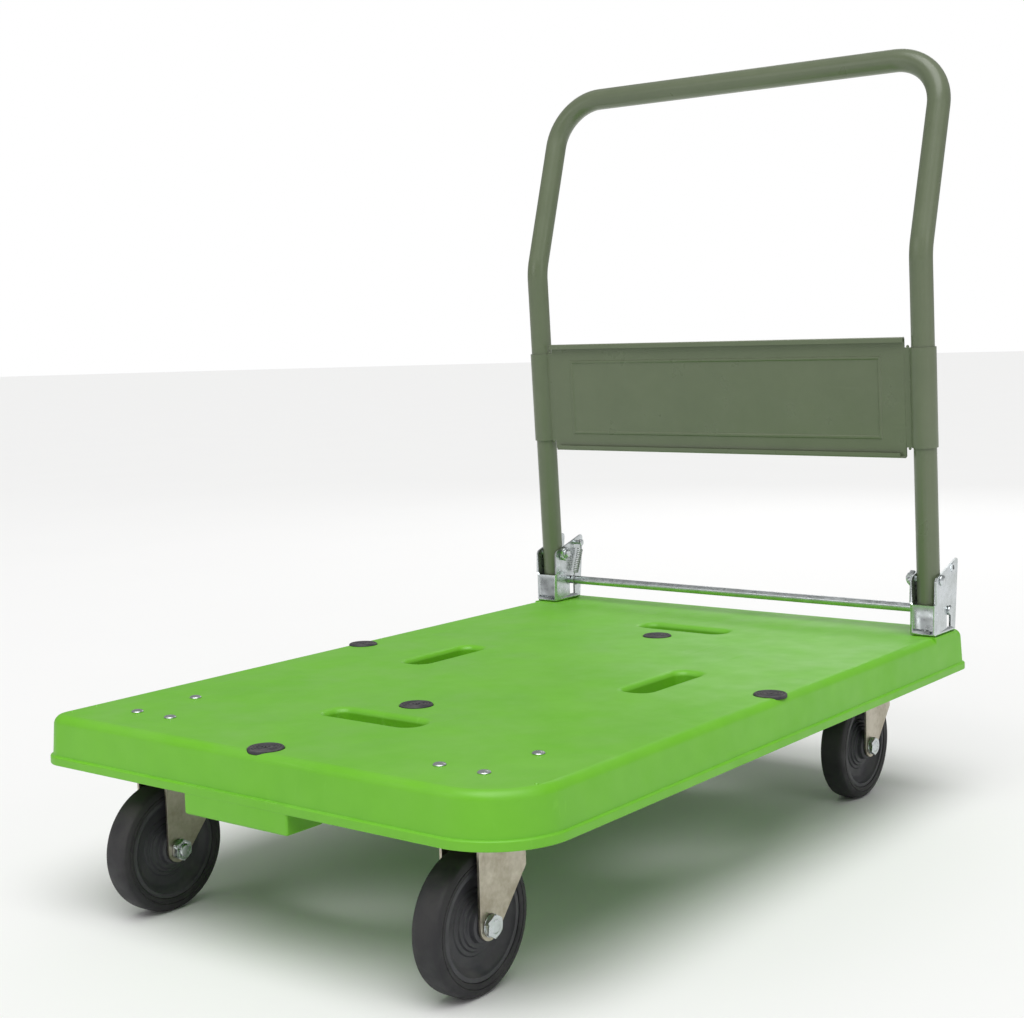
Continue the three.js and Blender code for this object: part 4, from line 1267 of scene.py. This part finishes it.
    def hex_bolt(self) -> bpy.types.Object:
        """Makes a plate bolt whose hexagon head stands under the plate."""
        low = self.plate_z[0]
        head = hexagon("hex_bolt", 13, low - 5.2, low - 1.0, Axis.Z, (0, 0, 0))
        washer = turned("washer", ring(3.0, 7.6, low - 1.1, low - 0.1, 0.3), 28)
        shank = turned(
            "shank", [(0, low - 2), (4, low - 2), (4, low + 16), (3.2, low + 17), (0, low + 17)], 20
        )
        for part in (head, washer, shank):
            polish(part, 0.2)
        absorb(head, washer, shank)
        return head

    def cup(self) -> bpy.types.Object:
        """Makes the upper bearing cup about the kingpin."""
        (low, high), radius = self.cup_z, self.cup_radius
        profile = [
            (6.3, low), (radius - 2.2, low), (radius - 2.2, low + 1.0), (radius - 1.2, low + 0.1),
            (radius, low + 0.9),
            (radius, high - 1.6), (radius - 1.0, high - 0.4), (radius - 3.0, high), (6.3, high), (6.3, low),
        ]
        cup = turned("cup", profile, 56)
        polish(cup, 0.25)
        return cup

    def race(self) -> bpy.types.Object:
        """Makes the ball race about the kingpin, with a groove round it."""
        (low, high), radius = self.race_z, self.race_radius
        profile = [
            (6.3, low), (radius - 3, low), (radius - 1.2, low + 0.6), (radius, low + 2.2),
            (radius, low + 3.4),
            (radius - 1.4, low + 4.2), (radius - 1.4, low + 5.4), (radius, low + 6.0), (radius, high),
            (6.3, high), (6.3, low),
        ]
        race = turned("race", profile, 56)
        polish(race, 0.25)
        return race

    def kingpin(self) -> bpy.types.Object:
        """Makes the kingpin with its riveted head under the crown."""
        under = self.swivel_top - self.sheet - FIT_GAP
        top = self.plate_z[0] - FIT_GAP
        profile = [
            (0, under - 2.8), (6.5, under - 2.8), (9.5, under - 2.2), (11, under - 0.6), (11, under),
            (6, under), (6, top), (0, top)
        ]
        pin = turned("kingpin", profile, 36)
        polish(pin, 0.25)
        return pin

    def build(self) -> None:
        """Makes one of each part and places its copies on the four casters."""
        tyre, core, bush = self.tyre(), self.core(), self.axle_bush()
        bolt, nut = self.axle_bolt(), self.axle_nut()
        plate, dome, hexed = self.top_plate(), self.dome_bolt(), self.hex_bolt()
        cup, race, pin = self.cup(), self.race(), self.kingpin()
        forks = {"front": self.fork(self.fixed_top), "rear": self.fork(self.swivel_top)}
        for end, axle in (("front", self.front_axle), ("rear", self.rear_axle)):
            for name, side in (("left", -1), ("right", 1)):
                caster, x = f"{end}_{name}", side * self.middle_x
                carrier = "chassis" if end == "front" else f"{caster}_swivel"
                hub = (x, axle, self.wheel)
                foot = (x, axle, 0)
                head = (x, axle + self.trail, 0)
                hand_over(
                    copied(tyre, f"{caster}_rubber", hub), TYRE_RUBBER, f"{caster}_wheel", f"{caster}_tyre"
                )
                hand_over(
                    copied(core, f"{caster}_core", hub), CORE_NYLON, f"{caster}_wheel",
                    f"{caster}_wheel_core"
                )
                hand_over(copied(bush, f"{caster}_bush", hub), SPRING_STEEL, carrier, f"{caster}_axle_bush")
                turn_bolt = side < 0
                hand_over(
                    copied(bolt, f"{caster}_bolt", hub, turn_bolt), BRIGHT_ZINC, carrier,
                    f"{caster}_axle_bolt"
                )
                hand_over(
                    copied(nut, f"{caster}_nut", hub, turn_bolt), BRIGHT_ZINC, carrier, f"{caster}_axle_nut"
                )
                hand_over(
                    copied(plate, f"{caster}_plate", head), CASTER_ZINC, "chassis", f"{caster}_top_plate"
                )
                node = f"{caster}_fixed_fork" if end == "front" else f"{caster}_swivel_fork"
                hand_over(copied(forks[end], f"{caster}_fork", foot), CASTER_ZINC, carrier, node)
                if end == "rear":
                    hand_over(
                        copied(cup, f"{caster}_cup", head), CASTER_ZINC, "chassis", f"{caster}_bearing_cup"
                    )
                    hand_over(
                        copied(race, f"{caster}_race", head), SPRING_STEEL, carrier, f"{caster}_ball_race"
                    )
                    hand_over(
                        copied(pin, f"{caster}_pin", head), SPRING_STEEL, "chassis", f"{caster}_kingpin"
                    )
                self.plate_bolts(caster, end, side, head, dome if end == "front" else hexed)
        for master in (tyre, core, bush, bolt, nut, plate, dome, hexed, cup, race, pin, *forks.values()):
            bpy.data.meshes.remove(master.data)

    def plate_bolts(self, caster: str, end: str, side: int, head: Point, master: bpy.types.Object) -> None:
        """Places a caster's plate bolts; a front caster has none at its rear inner corner."""
        for across, word in ((side, "outer"), (-side, "inner")):
            for along, place in ((-1, "front"), (1, "rear")):
                if end == "front" and word == "inner" and place == "rear":
                    continue
                spot = (head[0] + across * self.bolt_grid[0], head[1] + along * self.bolt_grid[1], 0)
                hand_over(copied(master, f"{caster}_plate_bolt_{place}_{word}", spot), BRIGHT_ZINC, "chassis")


# ---------------------------------------------------------------- handle brackets and the lock


@dataclass
class Brackets:
    """The two folded brackets that hold the handle, with their bolts, springs and the foot bar."""

    middle_x: float = 276.5
    front: float = 374.0
    base: float = 200.3
    half_outer: float = 16.6
    half_inner: float = 14.3
    sheet: float = 2.3
    foot: float = 57.0
    web_height: float = 37.0
    cheek_front: float = 69.0
    peak: tuple[float, float] = (65.6, 89.4)
    tab: tuple[float, float] = (6.0, 8.4)
    pivot: tuple[float, float] = (17.0, 66.0)
    bar: tuple[float, float] = (38.0, 27.0)
    bar_radius: float = 5.5
    bar_reach: float = 296.3
    travel: float = 14.0
    peak_radius: float = 6.5
    brow_radius: float = 5.0
    fold_radius: float = 2.0
    post: tuple[float, float] = (50.0, 78.0)
    stand_off: float = 6.4
    coil_radius: float = 3.6
    wire: float = 0.75
    turns: int = 13
    bolt_setbacks: tuple[float, float] = (14.0, 48.0)

    def channel(self) -> bpy.types.Object:
        """Folds the channel that both brackets share: base, low front web with its tab, two cheeks."""
        half = self.half_inner + self.sheet / 2
        level = self.sheet / 2
        piece = sheet_plane("bracket", (-half, level, level), (half, self.foot, level))
        with editing(piece):
            pick(piece, Pick.EDGES, lambda c, d: abs(c.x) > half - 0.1)
            extrude((0, 0, self.web_height - level))
            extrude((0, 0, self.cheek_front - self.web_height))
            pick(piece, Pick.VERTS, lambda c, n: c.z > self.cheek_front - 1 and c.y > self.foot - 1)
            move((0, self.peak[0] - self.foot, self.peak[1] - self.cheek_front))
            pick(piece, Pick.VERTS, lambda c, n: abs(c.z - self.web_height) < 0.1 and c.y > self.foot - 1)
            move((0, (self.peak[0] - self.foot) * self.web_height / self.peak[1], 0))
            pick(
                piece, Pick.EDGES,
                lambda c, d: abs(c.y - level) < 0.1 and abs(c.z - level) < 0.1 and abs(d.x) > 0.9
            )
            extrude((0, 0, self.web_height - level))
            tidy_surface()
            pick(piece, Pick.VERTS, lambda c, n: c.z > self.peak[1] - 1)
            bevel(self.peak_radius, 4, corners=True)
            pick(piece, Pick.VERTS, lambda c, n: abs(c.z - self.cheek_front) < 0.1 and c.y < level + 0.1)
            bevel(self.brow_radius, 4, corners=True)
            low_fold = lambda c, d: abs(c.z - level) < 0.1 and (abs(c.x) > half - 0.1 or c.y < level + 0.1)
            web_end = lambda c: abs(c.x) > half - 0.1 and c.y < level + 0.1 and c.z < self.web_height
            up_fold = lambda c, d: web_end(c) and abs(d.z) > 0.9
            pick(piece, Pick.EDGES, lambda c, d: low_fold(c, d) or up_fold(c, d))
            bevel(self.fold_radius, 3)
        modify(piece, "SOLIDIFY", thickness=self.sheet, offset=0, use_even_offset=True)
        x0, x1 = -self.half_inner + 2, self.half_inner - 1
        combine(piece, block("slit", (x0, -2, self.tab[0]), (x1, self.sheet + 2, self.tab[1])), Join.CUT)
        combine(piece, block("notch", (x1 - 4.8, -2, 2.9), (x1, self.sheet + 2, self.tab[1])), Join.CUT)
        y, z = self.bar
        radius = self.bar_radius + FIT_GAP
        track = slab(
            "track", (-20, y - radius, z - self.travel - radius), (20, y + radius, z + radius), 0.1, 0.1, 1
        )
        with editing(track):
            pick(track, Pick.EDGES, lambda c, d: abs(d.x) > 0.9 and abs(abs(c.y - y) - radius) < 0.2)
            bevel(radius * 0.97, 7)
        combine(piece, track, Join.CUT)
        return piece

    def bracket(self, master: bpy.types.Object, side: int) -> bpy.types.Object:
        """Copies the channel and gives it the ring on its outer cheek, with a bore through it.

        Args:
            master: the channel.
            side: -1 for the left bracket, 1 for the right.

        Returns:
            The finished bracket, in place.
        """
        name = "left" if side < 0 else "right"
        piece = copied(master, f"bracket_{name}")
        y, z = self.post
        low, high = self.half_outer - 0.4, self.half_outer + 1.1
        eye = turned(
            "eye",
            [
                (2.6, low), (6.2, low), (6.2, high - 0.5), (5.7, high), (3.2, high), (2.6, high - 0.5),
                (2.6, low)
            ],
            32, Axis.X, (0, y, z)
        )
        bore = turned(
            "bore", [(0, low - 4), (2.6, low - 4), (2.6, high + 2), (0, high + 2)], 28, Axis.X, (0, y, z)
        )
        if side < 0:
            eye, bore = copied_over(eye), copied_over(bore)
        combine(piece, bore, Join.CUT)
        combine(piece, eye, Join.WELD)
        polish(piece, 0.35, 2)
        work_on(piece)
        piece.location = (side * self.middle_x, self.front, self.base)
        apply_place(piece)
        return piece

    def place(self, side: int, y: float, z: float) -> Point:
        """Gives a spot on a bracket in the cart's frame."""
        return (side * self.middle_x, self.front + y, self.base + z)

    def pivot_bolt(self) -> bpy.types.Object:
        """Makes the pivot bolt about its own axis, with its domed head towards +X."""
        head = self.half_outer + FIT_GAP
        tip = -self.half_outer - 10.5
        profile = [
            (0, tip), (4.0, tip), (5.0, tip + 1.0), (5.0, head), (6.5, head), (6.5, head + 0.9),
            (6.1, head + 1.8),
            (5.0, head + 2.5), (3.4, head + 2.9), (0, head + 3.0),
        ]
        bolt = turned("pivot_bolt", profile, 32, Axis.X)
        polish(bolt, sharp=40.0)
        return bolt

    def pivot_nut(self) -> bpy.types.Object:
        """Makes the pivot's nut with its locking collar."""
        start = -self.half_outer - 0.3
        nut = hexagon("pivot_nut", 17, start - 6.2, start, Axis.X, (0, 0, 0))
        collar = turned("collar", ring(5.2, 7.2, start - 8.5, start - 5.8, 0.8), 32, Axis.X)
        polish(nut, 0.35)
        polish(collar, 0.2)
        absorb(nut, collar)
        return nut

    def spring_post(self) -> bpy.types.Object:
        """Makes the riveted post that the spring hangs from."""
        tip = -self.half_outer - self.stand_off - self.coil_radius
        root = -self.half_inner - FIT_GAP
        profile = [
            (0, tip), (3.6, tip), (4.4, tip + 0.5), (4.4, tip + 1.3), (3.8, tip + 1.6), (2.8, tip + 1.6),
            (2.8, root), (0, root)
        ]
        post = turned("spring_post", profile, 28, Axis.X)
        polish(post, 0.2)
        return post

    def spring(self) -> bpy.types.Object:
        """Winds the return spring between the post and the foot bar, with a hook at each end."""
        x = -self.half_outer - self.stand_off
        top = Vector((x, self.post[0], self.post[1] - 8.8))
        bottom = Vector((x, self.bar[0], self.bar[1] + self.bar_radius + 5.4))
        axis = bottom - top
        pitch = axis.length / self.turns
        bpy.ops.mesh.primitive_circle_add(
            vertices=8, radius=self.wire, fill_type="NOTHING",
            location=(self.coil_radius, 0, 0), rotation=(math.pi / 2, 0, 0),
        )
        coil = named("return_spring")
        modify(
            coil, "SCREW", angle=FULL_TURN, screw_offset=pitch, iterations=self.turns, steps=14,
            render_steps=14, use_merge_vertices=True, merge_threshold=0.01,
        )
        coil.rotation_euler = axis.to_track_quat("Z", "Y").to_euler()
        coil.location = top
        apply_place(coil)
        with editing(coil):
            tidy_surface()
        hooks = []
        for centre, reach in ((Vector((x, *self.post)), 2.8), (Vector((x, *self.bar)), self.bar_radius)):
            radius = reach + self.wire + 0.15
            meet = top if centre.z > top.z else bottom
            away = (centre - meet).normalized()
            side = Vector((0, away.z, -away.y))
            neck = centre - away * (radius + 1.8)
            start = centre - side * radius
            bpy.ops.mesh.primitive_circle_add(
                vertices=8, radius=self.wire, fill_type="NOTHING", location=start,
                rotation=away.to_track_quat("Z", "Y").to_euler(),
            )
            hook = named("hook")
            with editing(hook):
                bpy.ops.mesh.select_all(action="SELECT")
                bpy.ops.mesh.spin(steps=14, angle=1.35 * math.pi, center=centre, axis=side.cross(away))
                extrude((neck - centre) * 0.35)
                extrude((meet - centre) * 0.3)
                tidy_surface()
            hooks.append(hook)
        for part in (coil, *hooks):
            with editing(part):
                bpy.ops.mesh.select_mode(type="EDGE")
                bpy.ops.mesh.select_non_manifold()
                bpy.ops.mesh.edge_face_add()
            polish(part, sharp=60.0)
        absorb(coil, *hooks)
        return coil

    def base_bolt(self) -> bpy.types.Object:
        """Makes a base bolt with its low round head, and the nut under the deck's skin."""
        seat = self.sheet + 0.3
        profile = [
            (0, seat - 20), (3.2, seat - 20), (3.8, seat - 19.4), (3.8, seat), (6.5, seat), (6.3, seat + 1.0),
            (5.2, seat + 2.0), (3.2, seat + 2.4), (1.6, seat + 2.4), (1.5, seat + 1.2), (0, seat + 1.2),
        ]
        bolt = turned("base_bolt", profile, 28)
        polish(bolt, 0.15)
        nut = hexagon("nut", 13, seat - 19.0, seat - 12.9, Axis.Z, (0, 0, 0))
        polish(nut, 0.3)
        absorb(bolt, nut)
        return bolt

    def foot_bar(self) -> bpy.types.Object:
        """Turns the foot bar: a plain rod with a collar groove and a rounded nose at each end."""
        reach, radius = self.bar_reach, self.bar_radius
        half = [
            (radius, reach - 8.4), (radius - 0.5, reach - 8.0), (radius - 0.5, reach - 7.2), (radius, reach - 6.8),
            (radius, reach - 1.4), (radius - 0.4, reach - 0.5), (radius - 1.4, reach), (0, reach),
        ]
        profile = [(r, -a) for r, a in reversed(half)] + half
        bar = turned("foot_rod", profile, 40, Axis.X, (0, self.front + self.bar[0], self.base + self.bar[1]))
        polish(bar, sharp=40.0)
        return bar

    def build(self) -> None:
        """Makes both brackets and everything on them, and hands them over."""
        channel, bolt, nut, post = self.channel(), self.pivot_bolt(), self.pivot_nut(), self.spring_post()
        spring, base_bolt = self.spring(), self.base_bolt()
        hook = self.place(1, self.post[0], self.post[1] - 5)
        stretch = Stretch("foot_bar", hook, (hook[0], hook[1], self.base + self.bar[1] + self.bar_radius + 2))
        for name, side in (("left", -1), ("right", 1)):
            flip = side < 0
            hand_over(self.bracket(channel, side), BRIGHT_ZINC, "chassis", f"handle_bracket_{name}")
            pivot = self.place(side, *self.pivot)
            hand_over(
                copied(bolt, f"pivot_{name}", pivot, flip), BRIGHT_ZINC, "chassis", f"pivot_bolt_{name}"
            )
            hand_over(
                copied(nut, f"pivot_locknut_{name}", pivot, flip), BRIGHT_ZINC, "chassis",
                f"pivot_nut_{name}"
            )
            hand_over(
                copied(post, f"post_{name}", self.place(side, *self.post), flip), BRIGHT_ZINC, "chassis",
                f"spring_post_{name}"
            )
            for setback, word in zip(self.bolt_setbacks, ("front", "rear")):
                spot = self.place(side, setback, 0)
                hand_over(
                    copied(base_bolt, f"base_bolt_{name}_{word}", spot), BRIGHT_ZINC, "chassis",
                    f"bracket_bolt_{name}_{word}"
                )
            coil = copied(spring, f"coil_spring_{name}", self.place(side, 0, 0), flip)
            hand_over(coil, SPRING_STEEL, "chassis", f"return_spring_{name}", stretch=stretch)
        hand_over(self.foot_bar(), BRIGHT_ZINC, "foot_bar", "foot_bar")
        for master in (channel, bolt, nut, post, spring, base_bolt):
            bpy.data.meshes.remove(master.data)


def copied_over(piece: bpy.types.Object) -> bpy.types.Object:
    """Swaps a piece for its mirror image across x = 0."""
    twin = copied(piece, piece.name, mirror=True)
    bpy.data.meshes.remove(piece.data)
    return twin


# ---------------------------------------------------------------- handle


@dataclass
class Handle:
    """The bent tube, the panel between its legs, and the plugs in its tails."""

    middle_x: float = 276.5
    pivot: tuple[float, float] = (391.0, 266.3)
    radius: float = 13.6
    wall: float = 1.6
    tail: float = 35.0
    lean: float = math.radians(3.2)
    upper_lean: float = math.radians(16.5)
    bend_rise: float = 388.0
    top_rise: float = 617.0
    bend_radius: float = 75.0
    corner_radius: float = 62.0
    plug_length: float = 9.0
    panel_low: float = 147.0
    panel_high: float = 288.0
    panel_half: float = 255.5
    face: float = -6.0
    sheet: float = 1.5
    flange: float = 6.0
    flange_reach: float = 5.5
    collar: tuple[float, float] = (158.5, 276.5)
    bead_inset: tuple[float, float] = (30.0, 21.0)
    bead_width: float = 4.0
    bead_height: float = 1.0

    def tube(self) -> bpy.types.Object:
        """Bends the tube from one tail up over the top bar and down to the other."""
        leg = Vector((0, -math.sin(self.lean), math.cos(self.lean)))
        upper = Vector((0, math.sin(self.upper_lean), math.cos(self.upper_lean)))
        foot = Vector((0, *self.pivot))
        tail = foot - leg * self.tail
        bend = foot + leg * (self.bend_rise / leg.z)
        top = bend + upper * ((self.top_rise - self.bend_rise) / upper.z)
        across = Vector((self.middle_x, 0, 0))
        corners = [p - across for p in (tail, bend, top)] + [p + across for p in (top, bend, tail)]
        radii = [self.bend_radius, self.corner_radius, self.corner_radius, self.bend_radius]
        route = rounded_route(corners, radii, [8, 18, 18, 8])
        tube = drawn_tube("handle", self.radius, 40, corners[0], route)
        modify(tube, "SOLIDIFY", thickness=self.wall, offset=-1, use_even_offset=True)
        polish(tube, 0.3, 2)
        return tube

    def upright(self, piece: bpy.types.Object) -> bpy.types.Object:
        """Takes a piece drawn about an upright leg to the leaning one, about the pivot."""
        piece.rotation_euler = (self.lean, 0, 0)
        piece.location = (0, *self.pivot)
        apply_place(piece)
        return piece

    def panel(self) -> bpy.types.Object:
        """Presses the panel: a sheet with hemmed flanges, a raised bead frame and collars round both legs."""
        low, high, half = self.panel_low, self.panel_high, self.panel_half
        middle = self.face + self.sheet / 2
        piece = sheet_plane("panel", (-half, low, 0), (half, high, 0))
        piece.rotation_euler = (math.pi / 2, 0, 0)
        piece.location = (0, middle, 0)
        apply_place(piece)
        inset_x, inset_z = self.bead_inset
        centre = (0, middle, (low + high) / 2)
        with editing(piece):
            bpy.ops.mesh.select_all(action="SELECT")
            bpy.ops.mesh.inset(thickness=inset_z, use_even_offset=True)
            scale(((half - inset_x) / (half - inset_z), 1, 1), centre)
            step_in([(1.1, self.bead_height), (self.bead_width - 2.2, 0.0), (1.1, -self.bead_height)])
            reach = self.flange_reach - self.sheet / 2
            for edge, turn in ((high, -1), (low, 1)):
                pick(piece, Pick.EDGES, lambda c, d: abs(c.z - edge) < 0.1 and abs(d.x) > 0.9)
                extrude((0, -reach, 0))
                if turn > 0:
                    scale(((half - 6) / half, 1, 1), centre)
                extrude((0, 0, turn * (self.flange - self.sheet / 2)))
            hems = lambda c, d: abs(d.x) > 0.9 and (c.z > high - 0.1 or c.z < low + 0.1)
            pick(piece, Pick.EDGES, hems)
            bevel(1.2, 3)
        modify(piece, "SOLIDIFY", thickness=self.sheet, offset=0, use_even_offset=True)
        bottom, top = self.collar
        outer = self.radius + FIT_GAP + self.sheet
        wraps = []
        for side in (-1, 1):
            x = side * self.middle_x
            x0, x1 = sorted((side * (half - 3), x))
            arm = block("arm", (x0, self.face, bottom), (x1, self.face + self.sheet, top))
            wrap = turned("wrap", [(0, bottom), (outer, bottom), (outer, top), (0, top)], 56, at=(x, 0, 0))
            combine(wrap, arm, Join.WELD)
            bore = turned(
                "bore",
                [
                    (0, bottom - 9), (self.radius + 0.3, bottom - 9), (self.radius + 0.3, top + 9),
                    (0, top + 9)
                ],
                56, at=(x, 0, 0)
            )
            combine(wrap, bore, Join.CUT)
            polish(wrap, 0.3, 2, sharp=28.0)
            wraps.append(wrap)
        polish(piece, 0.3, 2, sharp=28.0)
        absorb(piece, *wraps)
        return self.upright(piece)

    def weld(self, name: str, spot: Point, size: Point) -> bpy.types.Object:
        """Lays one short run of weld metal as three overlapping drops."""
        drops = []
        for step, grow in ((-0.55, 0.8), (0.0, 1.0), (0.55, 0.75)):
            place = (spot[0], spot[1], spot[2] + step * size[2])
            bpy.ops.mesh.primitive_ico_sphere_add(
                subdivisions=3, radius=1, location=place, scale=[s * grow for s in size]
            )
            drops.append(named(name))
        combine(drops[0], drops[1], Join.WELD)
        combine(drops[0], drops[2], Join.WELD)
        polish(drops[0], sharp=60.0)
        return self.upright(drops[0])

    def plug(self) -> bpy.types.Object:
        """Makes a tail plug about an upright leg: a rounded face with a dimple."""
        radius = self.radius - self.wall - 0.25
        low, high = -self.tail, self.plug_length - self.tail
        profile = [
            (0, low + 1.6), (4.0, low + 1.4), (6.0, low + 0.2), (radius - 1.6, low),
            (radius - 0.4, low + 0.6), (radius, low + 1.8), (radius, high), (radius - 1.5, high), (0, high),
        ]
        plug = turned("plug", profile, 36)
        polish(plug, 0.2)
        return plug

    def build(self) -> None:
        """Makes the handle and hands it over."""
        hand_over(self.tube(), OLIVE_PAINT, "handle", "handle_tube")
        hand_over(self.panel(), OLIVE_PAINT, "handle", "handle_panel")
        for side, name in ((-1, "left"), (1, "right")):
            x = side * (self.middle_x - self.radius - 3.2)
            for height, word in ((self.collar[1] + 1.0, "top"), (self.collar[0] - 1.0, "bottom")):
                weld = self.weld(f"weld_{name}_{word}", (x, self.face + 0.9, height), (1.9, 1.3, 1.5))
                hand_over(weld, OLIVE_PAINT, "handle")
            plug = copied(self.plug(), f"tail_plug_{name}", (side * self.middle_x, 0, 0))
            hand_over(self.upright(plug), BLACK_PLUG, "handle", f"tube_plug_{name}")
        for spare in [o for o in bpy.data.objects if o.name == "plug" or o.name.startswith("plug.")]:
            bpy.data.meshes.remove(spare.data)


# ---------------------------------------------------------------- the whole cart


def clear_bench() -> None:
    """Removes whatever Blender opened with that isn't the frame."""
    kept = {*frame["nodes"].values(), *frame["bodies"].values()}
    for thing in [o for o in bpy.data.objects if o not in kept]:
        bpy.data.objects.remove(thing)


def main() -> None:
    """Sets up the studio, then builds the cart one sub-assembly at a time."""
    logging.basicConfig(level=logging.INFO, format="%(name)s: %(message)s")
    clear_bench()
    Studio().set_up()
    for build_group in (clouds_group, grain_group, wear_group, dust_group, scuffs_group):
        build_group()
    for part in (Deck(), Casters(), Brackets(), Handle()):
        log.info("building %s", type(part).__name__)
        part.build()


if __name__ == "__main__":
    main()
